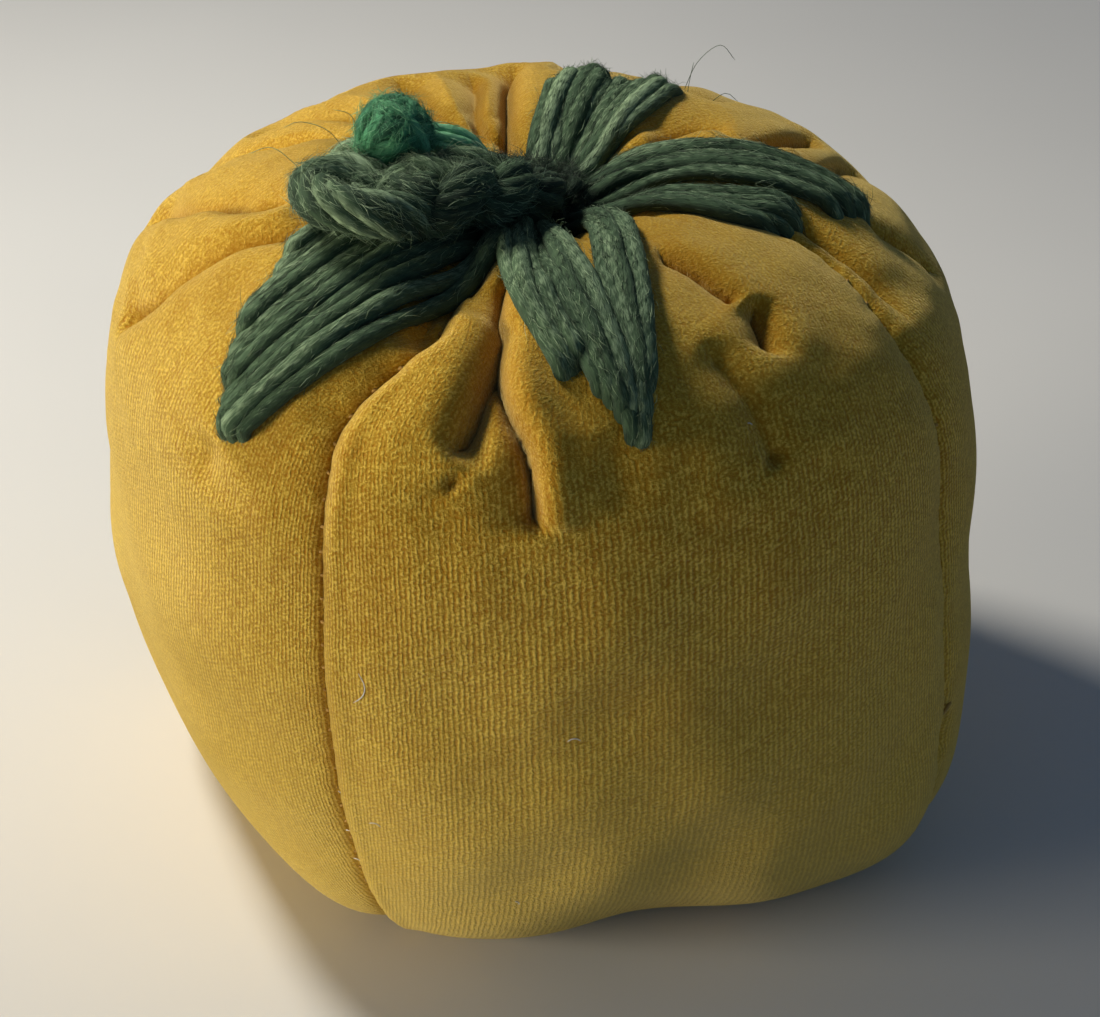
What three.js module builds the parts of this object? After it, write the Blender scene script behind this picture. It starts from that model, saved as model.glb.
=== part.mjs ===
// A hand-made tomato pin cushion. Four velveteen side panels and a square base are sewn over a firm
// stuffing and drawn together at the top by a gathering thread. A five-point calyx is embroidered over
// the gathers in thick wool. A short stem of three wool strands lies across the top and lifts at its root.
// Millimetres and degrees, +Z up, the origin under the middle of the base, the front panel facing -Y.
import * as THREE from "three";
import { mergeVertices } from "three/addons/utils/BufferGeometryUtils.js";

// ---- Body ----
const HALF_WIDTH = 43; // from the middle to the flat of a side panel, at the widest
const HEIGHT = 76; // to the top of the puffed shoulder
const WIDEST_HEIGHT = 38.5;
const BASE_SHARE = 0.55; // width of the base against the widest width
const LOWER_ROUNDNESS = 2.3; // superellipse power of the side's lower curve
const UPPER_ROUNDNESS = 3.6;
const SQUARENESS = { base: 4.2, middle: 3.2, top: 2 }; // superellipse power of the plan outline
const DIMPLE_DEPTH = 7;
const DIMPLE_SHARE = 0.28; // width of the gathered dimple against the half width

// ---- Sewing ----
const CLOTH = 1.2; // thickness of the velveteen
const GAP = 0.3; // room between touching pieces
const SEAM_GAP = 1.1; // room between two seam allowances, which the seam thread fills
const SEAM_ALLOWANCE = 4;
const SEAM_ROUNDING = 0.5; // how far a panel's edge sinks as it turns in at a seam
const SEAM_REACH = 3; // how far from a seam the panel is back at its full height
const GATHER_RADIUS = 5; // of the hole that the gathers close on
const SEAM_THREAD_RADIUS = 0.25;
const SEAM_THREAD_LEVELS = { low: -0.93, clearOfGathers: 2.5, depth: 1 };
const GATHERING_THREAD_RADIUS = 0.4;
const CLOSING_LEVELS = { low: -0.55, high: -0.3 }; // the gap that the body was filled through
const CORNER_ANGLES = { front_right: -45, back_right: 45, back_left: 135, front_left: -135 };
// The wadding: its lowest ring, its neck below the gathers, and the rounding of its top and bottom.
const STUFFING = { lowestLevel: -0.97, neckRadius: 12, neckStep: 2, topSink: 1.5, floorShare: 0.8 };
const PANEL_ANGLES = { right_panel: 0, back_panel: 90, left_panel: 180, front_panel: -90 };

// ---- Wool calyx ----
const CROWN = { inner: 3.5, outer: 6.8, height: 2.4, foot: 0.1, bulge: 0.4, waist: 0.9, shoulder: 0.6 };
const LEAF_ROOT_ARC = 8.2; // along the cloth from the middle of the gathers
const LEAF_EDGE_THICKNESS = 1.1;
const LEAF_MIDDLE_THICKNESS = 1.7;
const LEAF_ROOT_HALF_WIDTH = 2.5;
const LEAF_WIDEST_SHARE = 0.4; // of its length from the root
const LEAF_TIP_TAPER = { loss: 0.85, power: 1.6 };
const LEAVES = [
  { name: "leaf_front_left", rootAngle: 213, tipAngle: 209, length: 47, halfWidth: 7.6 },
  { name: "leaf_front", rootAngle: 256, tipAngle: 265, length: 42, halfWidth: 4.9 },
  { name: "leaf_front_fork", rootAngle: 289, tipAngle: 277, length: 32, halfWidth: 2 },
  { name: "leaf_right", rootAngle: 347, tipAngle: 334, length: 38, halfWidth: 4.9 },
  { name: "leaf_right_fork", rootAngle: 313, tipAngle: 316, length: 29, halfWidth: 2.5 },
  { name: "leaf_back_right", rootAngle: 48, tipAngle: 49, length: 36, halfWidth: 7 },
  { name: "leaf_back_left", rootAngle: 134, tipAngle: 138, length: 33, halfWidth: 6 },
];

// ---- Wool stem ----
const STEM_ANGLE = 206; // direction in which the stem lies
const STEM_PIVOT_HEIGHT = 74;
const STEM_ROOT_RADIUS = 2.8;
const STEM_START = 3.6; // distance of the strands' first turn from the pivot
const STEM_LENGTH = 26;
const STEM_TIP_HEIGHT = 80.9;
const STEM_CLIMB = 12; // distance in which the stem climbs out of the dimple
const STRAND_RADIUS = 1.3;
const TWIST_RADIUS = 2.2; // of the middles of the strands about the middle of the stem
const TWIST_PITCH = 24;
const TWIST_START_TURN = 0.2;
const BOBBLE = { radius: 3.4, along: 15.5, aside: -6.7, height: 83.4 };

const COLOURS = {
  velveteen: 0xc29a3c,
  base: 0xb28c36,
  stuffing: 0xeee9dd,
  thread: 0x9a7a30,
  wool: 0x2f5540,
  emerald: 0x157048,
};

const degrees = (angle) => (angle * Math.PI) / 180;
const mix = (a, b, share) => a + (b - a) * share;
const material = (color) => new THREE.MeshStandardMaterial({ color, roughness: 0.9, metalness: 0 });

// ---- The shape of the stuffed body ----
// level runs from -1 at the edge of the base, past 0 at the widest height, to 1 at the gathers' middle.
function profile(level) {
  const turn = degrees(90 * Math.abs(level));
  const power = level < 0 ? LOWER_ROUNDNESS : UPPER_ROUNDNESS;
  const scale = (Math.cos(turn) ** power + Math.sin(turn) ** power) ** (-1 / power);
  const across = scale * Math.cos(turn);
  const up = scale * Math.sin(turn);
  if (level < 0) {
    const reach = mix(BASE_SHARE, 1, across);
    const squareness = mix(SQUARENESS.base, SQUARENESS.middle, Math.sin(degrees(90 * (1 - up))));
    return { reach, height: WIDEST_HEIGHT * (1 - up), squareness };
  }
  const sunk = DIMPLE_DEPTH * Math.exp(-((across / DIMPLE_SHARE) ** 2));
  const height = mix(WIDEST_HEIGHT, HEIGHT, up) - sunk;
  return { reach: across, height, squareness: mix(SQUARENESS.middle, SQUARENESS.top, up ** 2) };
}

function bodyPoint(angle, level) {
  const { reach, height, squareness } = profile(level);
  const c = Math.cos(degrees(angle));
  const s = Math.sin(degrees(angle));
  const outline = (Math.abs(c) ** squareness + Math.abs(s) ** squareness) ** (-1 / squareness);
  const radius = HALF_WIDTH * reach * outline;
  return new THREE.Vector3(radius * c, radius * s, height);
}

// The unit vectors of the surface at a place: round the body, and out of it.
function bodyFrame(angle, level) {
  const step = 0.004;
  const low = Math.max(level - step, -1);
  const high = Math.min(level + step, 0.996);
  const around = bodyPoint(angle + 0.5, level).sub(bodyPoint(angle - 0.5, level)).normalize();
  const upward = bodyPoint(angle, high).sub(bodyPoint(angle, low)).normalize();
  return { around, outward: around.clone().cross(upward).normalize() };
}

// A point at a place on the body, moved round it by aside and sunk into it by inset.
function sewnPoint(angle, level, aside, inset) {
  const { around, outward } = bodyFrame(angle, level);
  return bodyPoint(angle, level).addScaledVector(around, aside).addScaledVector(outward, -inset);
}

function radiusAt(angle, level) {
  const p = bodyPoint(angle, level);
  return Math.hypot(p.x, p.y);
}

// The level at which the body's outline has the given radius, above the widest height.
function levelOfRadius(radius) {
  let low = 0;
  let high = 1;
  for (let i = 0; i < 40; i += 1) {
    const middle = (low + high) / 2;
    if (HALF_WIDTH * profile(middle).reach > radius) low = middle;
    else high = middle;
  }
  return low;
}

// The level at each distance along the cloth from the middle of the gathers, found by walking down it.
const CLOTH_WALK = (() => {
  const steps = 400;
  const walk = [{ arc: 0, level: 1 }];
  let last = profile(1);
  for (let i = 1; i <= steps; i += 1) {
    const level = 1 - i / steps;
    const next = profile(level);
    const run = HALF_WIDTH * (next.reach - last.reach);
    walk.push({ arc: walk[i - 1].arc + Math.hypot(run, next.height - last.height), level });
    last = next;
  }
  return walk;
})();

function levelOfArc(arc) {
  const i = CLOTH_WALK.findIndex((place) => place.arc >= arc);
  const a = CLOTH_WALK[i - 1];
  const b = CLOTH_WALK[i];
  return mix(a.level, b.level, (arc - a.arc) / (b.arc - a.arc));
}

// ---- Closed bodies from grids of points ----
// quads lists corner indices that go round each face; the result always faces out.
function closedBody(points, quads) {
  const triangles = [];
  for (const [a, b, c, d] of quads) {
    triangles.push([a, b, c]);
    if (d !== undefined) triangles.push([a, c, d]);
  }
  const volume = triangles.reduce(
    (sum, [a, b, c]) => sum + points[a].dot(points[b].clone().cross(points[c])),
    0,
  );
  const index = triangles.flatMap(([a, b, c]) => (volume < 0 ? [a, c, b] : [a, b, c]));
  const geometry = new THREE.BufferGeometry().setFromPoints(points);
  geometry.setIndex(index);
  geometry.computeVertexNormals();
  return geometry;
}

// A sheet with thickness: the outer and inner grids have the same rows and columns.
function sheet(outer, inner) {
  const rows = outer.length;
  const columns = outer[0].length;
  const points = [...outer.flat(), ...inner.flat()];
  const top = (i, j) => i * columns + j;
  const under = (i, j) => rows * columns + i * columns + j;
  const quads = [];
  for (let i = 0; i < rows - 1; i += 1) {
    for (let j = 0; j < columns - 1; j += 1) {
      quads.push([top(i, j), top(i + 1, j), top(i + 1, j + 1), top(i, j + 1)]);
      quads.push([under(i, j), under(i, j + 1), under(i + 1, j + 1), under(i + 1, j)]);
    }
    quads.push([top(i, 0), under(i, 0), under(i + 1, 0), top(i + 1, 0)]);
    const last = columns - 1;
    quads.push([top(i, last), top(i + 1, last), under(i + 1, last), under(i, last)]);
  }
  for (let j = 0; j < columns - 1; j += 1) {
    quads.push([top(0, j), top(0, j + 1), under(0, j + 1), under(0, j)]);
    const last = rows - 1;
    quads.push([top(last, j), under(last, j), under(last, j + 1), top(last, j + 1)]);
  }
  return closedBody(points, quads);
}

// A solid stacked from closed rings, with a middle point at each end.
function stack(rings, bottom, top) {
  const count = rings[0].length;
  const points = [...rings.flat(), bottom, top];
  const quads = [];
  for (let i = 0; i < rings.length - 1; i += 1) {
    for (let j = 0; j < count; j += 1) {
      const k = (j + 1) % count;
      quads.push([i * count + j, i * count + k, (i + 1) * count + k, (i + 1) * count + j]);
    }
  }
  const last = (rings.length - 1) * count;
  for (let j = 0; j < count; j += 1) {
    const k = (j + 1) % count;
    quads.push([k, j, points.length - 2]);
    quads.push([last + j, last + k, points.length - 1]);
  }
  return closedBody(points, quads);
}

function tube(curve, radius, steps, sides) {
  const section = new THREE.Shape().absellipse(0, 0, radius, radius, 0, 2 * Math.PI);
  return new THREE.ExtrudeGeometry(section, {
    steps,
    extrudePath: curve,
    curveSegments: sides / 2,
    bevelEnabled: false,
  });
}

function evenly(from, to, count) {
  return Array.from({ length: count }, (_, i) => mix(from, to, i / (count - 1)));
}

// ---- Side panels: each is one cut of velveteen with its seam allowances turned in ----
function sidePanel(angle) {
  const fromAngle = angle - 45;
  const toAngle = angle + 45;
  const levels = evenly(-1, levelOfRadius(GATHER_RADIUS), 13);
  const outer = [];
  const inner = [];
  for (const level of levels) {
    const radius = radiusAt(fromAngle, level);
    const clear = Math.min((SEAM_REACH / radius) * (180 / Math.PI), 24);
    const edge = SEAM_GAP / 2;
    const middle = evenly(fromAngle + clear, toAngle - clear, 9);
    outer.push([
      sewnPoint(fromAngle, level, edge, SEAM_ALLOWANCE),
      sewnPoint(fromAngle, level, edge, SEAM_ROUNDING),
      ...middle.map((a) => sewnPoint(a, level, 0, 0)),
      sewnPoint(toAngle, level, -edge, SEAM_ROUNDING),
      sewnPoint(toAngle, level, -edge, SEAM_ALLOWANCE),
    ]);
    inner.push([
      sewnPoint(fromAngle, level, edge + CLOTH, SEAM_ALLOWANCE),
      sewnPoint(fromAngle, level, edge + CLOTH, SEAM_ROUNDING + CLOTH),
      ...middle.map((a) => sewnPoint(a, level, 0, CLOTH)),
      sewnPoint(toAngle, level, -edge - CLOTH, SEAM_ROUNDING + CLOTH),
      sewnPoint(toAngle, level, -edge - CLOTH, SEAM_ALLOWANCE),
    ]);
  }
  return sheet(outer, inner);
}

// ---- Base: a flat square with round corners ----
function basePanel() {
  const outline = Array.from({ length: 48 }, (_, i) => {
    const p = bodyPoint((i * 360) / 48, -1);
    return p.multiplyScalar(1 - SEAM_GAP / Math.hypot(p.x, p.y));
  });
  const rings = [0, CLOTH].map((z) => outline.map((p) => new THREE.Vector3(p.x, p.y, z)));
  return stack(rings, new THREE.Vector3(0, 0, 0), new THREE.Vector3(0, 0, CLOTH));
}

// ---- Stuffing: the packed wadding, grooved where the seam allowances press into it ----
function stuffing() {
  const inset = CLOTH + SEAM_ROUNDING + 3 * GAP;
  const deep = SEAM_ALLOWANCE + 4 * GAP;
  const halfGroove = SEAM_GAP / 2 + CLOTH + 2 * GAP;
  const { lowestLevel, neckRadius, neckStep, topSink, floorShare } = STUFFING;
  const corners = [-45, 45, 135, 225];
  const ringAt = (level) =>
    corners.flatMap((corner) => {
      const radius = radiusAt(corner, level);
      const clear = (halfGroove + CLOTH) / radius / (Math.PI / 180);
      return [
        sewnPoint(corner, level, -halfGroove, inset),
        sewnPoint(corner, level, -halfGroove, deep),
        sewnPoint(corner, level, halfGroove, deep),
        sewnPoint(corner, level, halfGroove, inset),
        ...evenly(corner + clear, corner + 90 - clear, 6).map((a) => sewnPoint(a, level, 0, inset)),
      ];
    });
  const neck = levelOfRadius(neckRadius);
  const rings = evenly(lowestLevel, neck, 13).map(ringAt);
  const sunkRing = rings[rings.length - 1].map((p) => {
    const shrink = 1 - neckStep / Math.hypot(p.x, p.y);
    const z = profile(neck).height - deep - topSink;
    return new THREE.Vector3(p.x * shrink, p.y * shrink, Math.min(z, p.z - GAP));
  });
  rings.push(sunkRing);
  const floor = rings[0].map(
    (p) => new THREE.Vector3(p.x * floorShare, p.y * floorShare, CLOTH + GAP),
  );
  rings.unshift(floor);
  const top = new THREE.Vector3(0, 0, profile(1).height - deep - topSink);
  return stack(rings, new THREE.Vector3(0, 0, CLOTH + GAP), top);
}

// ---- Threads ----
function cornerThread(angle) {
  const { low, clearOfGathers, depth } = SEAM_THREAD_LEVELS;
  const levels = evenly(low, levelOfRadius(GATHER_RADIUS + clearOfGathers), 18);
  const points = levels.map((level) => sewnPoint(angle, level, 0, depth));
  return tube(new THREE.CatmullRomCurve3(points), SEAM_THREAD_RADIUS, 22, 6);
}

function baseThread() {
  const ring = Array.from({ length: 48 }, (_, i) => {
    const p = bodyPoint((i * 360) / 48, -1);
    return p.multiplyScalar(1 - SEAM_GAP / 2 / Math.hypot(p.x, p.y)).setZ(CLOTH / 2);
  });
  const bent = new THREE.CatmullRomCurve3(ring, true);
  return tube(bent, SEAM_THREAD_RADIUS, 48, 6);
}

function gatheringThread() {
  const height = profile(levelOfRadius(GATHER_RADIUS)).height - CLOTH / 2;
  const ring = new THREE.TorusGeometry(
    GATHER_RADIUS - 2 * GAP - GATHERING_THREAD_RADIUS,
    GATHERING_THREAD_RADIUS,
    6,
    32,
  );
  return ring.translate(0, 0, height);
}

// A thread sewn as a ladder across the gap that the body was filled through.
function closingThread() {
  const { low, high } = CLOSING_LEVELS;
  const points = evenly(low, high, 9).map((level) =>
    sewnPoint(CORNER_ANGLES.front_right, level, 0, -GAP - SEAM_THREAD_RADIUS),
  );
  return tube(new THREE.CatmullRomCurve3(points), SEAM_THREAD_RADIUS, 16, 6);
}

// ---- Calyx ----
function crown() {
  const { inner, outer, height, foot, bulge, waist, shoulder } = CROWN;
  const middle = (inner + outer) / 2;
  const low = (radius) => profile(levelOfRadius(radius)).height + GAP;
  const profilePoints = [
    [inner, low(GATHER_RADIUS)],
    [middle, low(middle) + foot],
    [outer, low(outer) + foot],
    [outer + bulge, low(outer) + waist],
    [outer - shoulder, low(outer) + height * 0.8],
    [middle, low(GATHER_RADIUS) + height],
    [inner, low(GATHER_RADIUS) + height * 0.7],
    [inner, low(GATHER_RADIUS)],
  ].map(([x, y]) => new THREE.Vector2(x, y));
  return new THREE.LatheGeometry(profilePoints, 28).rotateX(Math.PI / 2);
}

// How wide a leaf is along its length, as a share of its half width.
function leafShape(share) {
  const { loss, power } = LEAF_TIP_TAPER;
  if (share < LEAF_WIDEST_SHARE) return Math.sin(degrees((90 * share) / LEAF_WIDEST_SHARE));
  return 1 - loss * ((share - LEAF_WIDEST_SHARE) / (1 - LEAF_WIDEST_SHARE)) ** power;
}

function leaf({ rootAngle, tipAngle, length, halfWidth }) {
  const outer = [];
  const inner = [];
  for (const share of evenly(0, 1, 13)) {
    const level = levelOfArc(mix(LEAF_ROOT_ARC, length, share));
    const angle = mix(rootAngle, tipAngle, share);
    const root = Math.min(LEAF_ROOT_HALF_WIDTH, halfWidth * 0.5);
    const width = Math.max(root * (1 - share * 2), halfWidth * leafShape(share));
    const spread = width / radiusAt(angle, level) / (Math.PI / 180);
    const across = evenly(-1, 1, 7);
    const lift = (u) => mix(LEAF_MIDDLE_THICKNESS, LEAF_EDGE_THICKNESS, u * u);
    const place = (u, height) => sewnPoint(angle + u * spread, level, 0, -GAP - height);
    outer.push(across.map((u) => place(u, lift(u))));
    inner.push(across.map((u) => place(u, 0)));
  }
  return sheet(outer, inner);
}

// ---- Stem ----
const STEM_OUT = new THREE.Vector3(Math.cos(degrees(STEM_ANGLE)), Math.sin(degrees(STEM_ANGLE)), 0);
const STEM_ASIDE = new THREE.Vector3(-STEM_OUT.y, STEM_OUT.x, 0);

// The stem's middle line: it climbs out of the dimple and lies level across the shoulder.
function stemPoint(along, aside, above) {
  const climb = Math.min(1, along / STEM_CLIMB);
  const rise = mix(STEM_PIVOT_HEIGHT, STEM_TIP_HEIGHT, climb * (2 - climb));
  return new THREE.Vector3(0, 0, rise + above)
    .addScaledVector(STEM_OUT, along)
    .addScaledVector(STEM_ASIDE, aside);
}

// Strand is 0, 1 or 2: three strands wind round the stem's middle line, a third of a turn apart.
function stemStrand(strand) {
  const points = evenly(STEM_START, STEM_LENGTH, 22).map((along) => {
    const turn = 2 * Math.PI * (TWIST_START_TURN + strand / 3 + (along - STEM_START) / TWIST_PITCH);
    return stemPoint(along, TWIST_RADIUS * Math.sin(turn), TWIST_RADIUS * Math.cos(turn));
  });
  return tube(new THREE.CatmullRomCurve3(points), STRAND_RADIUS, 26, 10);
}

function ball(radius, centre) {
  const shape = new THREE.IcosahedronGeometry(radius, 3);
  shape.deleteAttribute("normal");
  shape.deleteAttribute("uv");
  return mergeVertices(shape).translate(centre.x, centre.y, centre.z);
}

// ---- Assembly ----
function part(name, geometry, color) {
  const mesh = new THREE.Mesh(geometry, material(color));
  mesh.name = name;
  return mesh;
}

function cushionBody() {
  const group = new THREE.Group();
  group.add(part("stuffing", stuffing(), COLOURS.stuffing));
  for (const [name, angle] of Object.entries(PANEL_ANGLES)) {
    group.add(part(name, sidePanel(angle), COLOURS.velveteen));
  }
  group.add(part("base_panel", basePanel(), COLOURS.base));
  return group;
}

function threads() {
  const group = new THREE.Group();
  for (const [name, angle] of Object.entries(CORNER_ANGLES)) {
    group.add(part(`seam_thread_${name}`, cornerThread(angle), COLOURS.thread));
  }
  group.add(part("base_seam_thread", baseThread(), COLOURS.thread));
  group.add(part("gathering_thread", gatheringThread(), COLOURS.thread));
  group.add(part("closing_thread", closingThread(), COLOURS.thread));
  return group;
}

function calyx() {
  const group = new THREE.Group();
  group.add(part("crown_knot", crown(), COLOURS.wool));
  for (const shape of LEAVES) group.add(part(shape.name, leaf(shape), COLOURS.wool));
  return group;
}

function stem() {
  const group = new THREE.Group();
  group.add(part("stem_root", ball(STEM_ROOT_RADIUS, stemPoint(0, 0, 0)), COLOURS.wool));
  for (const strand of [0, 1, 2]) {
    group.add(part(`stem_strand_${strand + 1}`, stemStrand(strand), COLOURS.wool));
  }
  const middle = stemPoint(BOBBLE.along, BOBBLE.aside, 0).setZ(BOBBLE.height);
  group.add(part("stem_bobble", ball(BOBBLE.radius, middle), COLOURS.emerald));
  return group;
}

const pinCushion = new THREE.Group();
pinCushion.add(cushionBody(), threads(), calyx(), stem());

export default pinCushion;
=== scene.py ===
"""A hand-made tomato pin cushion: a golden velour body gathered at the top, a wool calyx and a wool stem.

Shapes are worked out in millimetres and degrees and turned into metres as each mesh is made.
An arc is a distance along the cloth from the middle of the gathers. The plan is the cloth's flat map:
a place at an angle and an arc is at arc * (cos angle, sin angle), and the front panel faces -Y.
Each point has a tone, which the velour reads as painted shade in its folds and pleat valleys and the wool as
how light it is, painted shade and highlights included.
"""

import math
from collections import namedtuple

import bpy
import numpy as np
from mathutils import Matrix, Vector


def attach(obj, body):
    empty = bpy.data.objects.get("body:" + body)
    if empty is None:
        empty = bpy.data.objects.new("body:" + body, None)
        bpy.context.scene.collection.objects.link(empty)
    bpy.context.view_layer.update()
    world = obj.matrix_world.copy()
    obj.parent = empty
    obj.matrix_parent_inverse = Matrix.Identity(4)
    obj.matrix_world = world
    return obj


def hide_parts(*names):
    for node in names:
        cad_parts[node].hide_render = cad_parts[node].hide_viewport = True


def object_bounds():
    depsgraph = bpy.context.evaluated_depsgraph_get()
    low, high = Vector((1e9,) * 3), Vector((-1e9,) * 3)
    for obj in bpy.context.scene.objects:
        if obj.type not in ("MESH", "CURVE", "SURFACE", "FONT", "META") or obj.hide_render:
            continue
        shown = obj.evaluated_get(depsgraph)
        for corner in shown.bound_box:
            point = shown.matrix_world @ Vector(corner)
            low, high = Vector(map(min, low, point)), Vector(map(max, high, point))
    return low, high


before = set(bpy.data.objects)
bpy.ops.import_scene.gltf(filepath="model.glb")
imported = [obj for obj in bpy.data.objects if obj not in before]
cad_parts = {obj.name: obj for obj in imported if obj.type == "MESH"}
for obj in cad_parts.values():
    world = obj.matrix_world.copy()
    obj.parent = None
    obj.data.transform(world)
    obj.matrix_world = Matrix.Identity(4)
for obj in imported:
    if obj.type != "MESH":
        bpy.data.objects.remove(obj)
cad_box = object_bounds()

MM = 0.001
FULL_TURN = 2.0 * np.pi

# ---- The stuffed body ----
HALF_WIDTH = float(round(cad_box[1][0] / MM))  # from the middle to a flat side, at the widest height
HEIGHT = 76.0
WIDEST_HEIGHT = 38.5
BASE_SHARE = 0.55  # the base's edge is this much of the widest outline
LOWER_ROUNDNESS = 2.3
UPPER_ROUNDNESS = 3.6
SQUARENESS = {"base": 4.2, "middle": 3.2, "top": 2.0}
DIMPLE = {"depth": 8.0, "share": 0.27}
LEAN = (-2.6, -1.6)  # how far the top stands to the side of the base
SEAM_ANGLES = {"front_left": -135.0, "front_right": -45.0, "back_right": 45.0, "back_left": 135.0}
PANEL_ANGLES = {"front_panel": -90.0, "right_panel": 0.0, "back_panel": 90.0, "left_panel": 180.0}
# How much each corner swells out of the plain form at these shares of the height.
SWELL_SHARES = (0.0, 0.45, 0.5, 0.9)
CORNER_SWELL = {
    "front_left": (-0.11, -0.05, -0.05, -0.06),
    "front_right": (0.06, -0.03, -0.03, -0.04),
    "back_right": (0.0, 0.0, 0.0, -0.05),
    "back_left": (0.10, 0.02, 0.02, -0.07),
}
CORNER_SPREAD = 26.0
GATHER_ARC = 3.4  # the panels end this far from the middle of the gathers
CLOTH = 1.0
PROBE = {"angle": 0.4, "arc": 0.3}  # how far to each side a surface is probed for its directions


def mix(a, b, share):
    return a + (b - a) * share


def ease(x):
    x = np.clip(x, 0.0, 1.0)
    return x * x * (3.0 - 2.0 * x)


def bell(x, width):
    return np.exp(-((x / width) ** 2))


def unit(vectors):
    return vectors / np.maximum(np.linalg.norm(vectors, axis=-1, keepdims=True), 1e-9)


def turn_between(a, b):
    """The signed angle from b to a, in degrees."""
    return (a - b + 180.0) % 360.0 - 180.0


def distances_along(line):
    """How far along a line each of its points is."""
    return np.concatenate([[0.0], np.cumsum(np.linalg.norm(np.diff(line, axis=0), axis=1))])


def spread_along(values, count):
    """One value, or several at even steps along a line, read at count places on the line."""
    steps = np.linspace(0.0, 1.0, np.size(values))
    return np.interp(np.linspace(0.0, 1.0, count), steps, np.ravel(values))


def curve_through(points, step):
    """A smooth open curve through points, sampled about every step."""
    points = np.asarray(points, float)
    ends = np.vstack([2 * points[0] - points[1], points, 2 * points[-1] - points[-2]])
    out = []
    for a, b, c, d in zip(ends, ends[1:], ends[2:], ends[3:]):
        count = max(2, int(np.linalg.norm(c - b) / step))
        t = np.linspace(0.0, 1.0, count, endpoint=False)[:, None]
        bend = 2 * a - 5 * b + 4 * c - d
        out.append(0.5 * (2 * b + (c - a) * t + bend * t**2 + (3 * b - a - 3 * c + d) * t**3))
    return np.vstack([*out, points[-1:]])


def waves(seed, wavelength, count=12):
    """Seeded smooth noise: a function from points in space or on the plan to values of about -1 to 1."""
    random = np.random.default_rng(seed)
    directions = unit(random.normal(size=(count, 3)))
    rates = FULL_TURN / (wavelength * random.uniform(0.7, 1.5, count))
    phases = random.uniform(0.0, FULL_TURN, count)

    def noise(points):
        size = points.shape[-1]
        total = np.zeros(points.shape[:-1])
        for direction, rate, phase in zip(directions, rates, phases):
            total += np.sin(points @ direction[:size] * rate + phase)
        return 0.7 * math.sqrt(2.0 / count) * total

    return noise


def profile(level):
    """Reach, height and squareness of the outline: level is -1 at the base's edge, 1 at the gathers."""
    level = np.asarray(level, float)
    below = level < 0
    turn = np.radians(90.0 * np.abs(level))
    power = np.where(below, LOWER_ROUNDNESS, UPPER_ROUNDNESS)
    scale = (np.cos(turn) ** power + np.sin(turn) ** power) ** (-1.0 / power)
    across, up = scale * np.cos(turn), scale * np.sin(turn)
    reach = np.where(below, mix(BASE_SHARE, 1.0, across), across)
    sunk = DIMPLE["depth"] * bell(across, DIMPLE["share"])
    height = np.where(below, WIDEST_HEIGHT * (1.0 - up), mix(WIDEST_HEIGHT, HEIGHT, up) - sunk)
    low = mix(SQUARENESS["base"], SQUARENESS["middle"], np.sin(np.radians(90.0 * (1.0 - up))))
    high = mix(SQUARENESS["middle"], SQUARENESS["top"], up**2)
    return reach, height, np.where(below, low, high)


def plain_body(angle, level):
    """Points of the stuffed form before the cloth's folds."""
    angle, level = np.broadcast_arrays(np.asarray(angle, float), np.asarray(level, float))
    reach, height, squareness = profile(level)
    c, s = np.cos(np.radians(angle)), np.sin(np.radians(angle))
    outline = (np.abs(c) ** squareness + np.abs(s) ** squareness) ** (-1.0 / squareness)
    share = height / HEIGHT
    swell = np.ones_like(share)
    for corner, swells in CORNER_SWELL.items():
        near = bell(turn_between(angle, SEAM_ANGLES[corner]), CORNER_SPREAD)
        swell += near * np.interp(share, SWELL_SHARES, swells)
    radius = HALF_WIDTH * reach * outline * swell
    x = radius * c + LEAN[0] * (share - 0.5)
    y = radius * s + LEAN[1] * (share - 0.5)
    return np.stack([x, y, height], -1)


def cloth_walk():
    """Distances along the cloth from the middle of the gathers, and the level at each."""
    levels = np.linspace(1.0, -1.0, 801)
    reach, height, _ = profile(levels)
    return distances_along(np.stack([HALF_WIDTH * reach, height], -1)), levels


WALK_ARC, WALK_LEVEL = cloth_walk()
BASE_ARC = WALK_ARC[-1]


def level_of(arc):
    return np.interp(arc, WALK_ARC, WALK_LEVEL)


def body_at(angle, arc):
    return plain_body(angle, level_of(arc))


def body_frame(angle, arc):
    """A point of the plain form, and the unit vectors out of it and round it."""
    around = unit(body_at(angle + PROBE["angle"], arc) - body_at(angle - PROBE["angle"], arc))
    near = np.maximum(arc - PROBE["arc"], 0.2)
    far = np.minimum(arc + PROBE["arc"], BASE_ARC)
    down = body_at(angle, far) - body_at(angle, near)
    return body_at(angle, arc), unit(np.cross(down, around)), around


def plan_of(angle, arc):
    return np.stack([arc * np.cos(np.radians(angle)), arc * np.sin(np.radians(angle))], -1)


def place_of(plan):
    """The angle and the arc of places on the plan."""
    return np.degrees(np.arctan2(plan[..., 1], plan[..., 0])), np.hypot(plan[..., 0], plan[..., 1])


def places_on(angles, arcs):
    """The angle and the arc of each place of a grid, one row of angles for each arc."""
    arc, angle = np.meshgrid(arcs, angles, indexing="ij")
    return angle.ravel(), arc.ravel()


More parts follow.
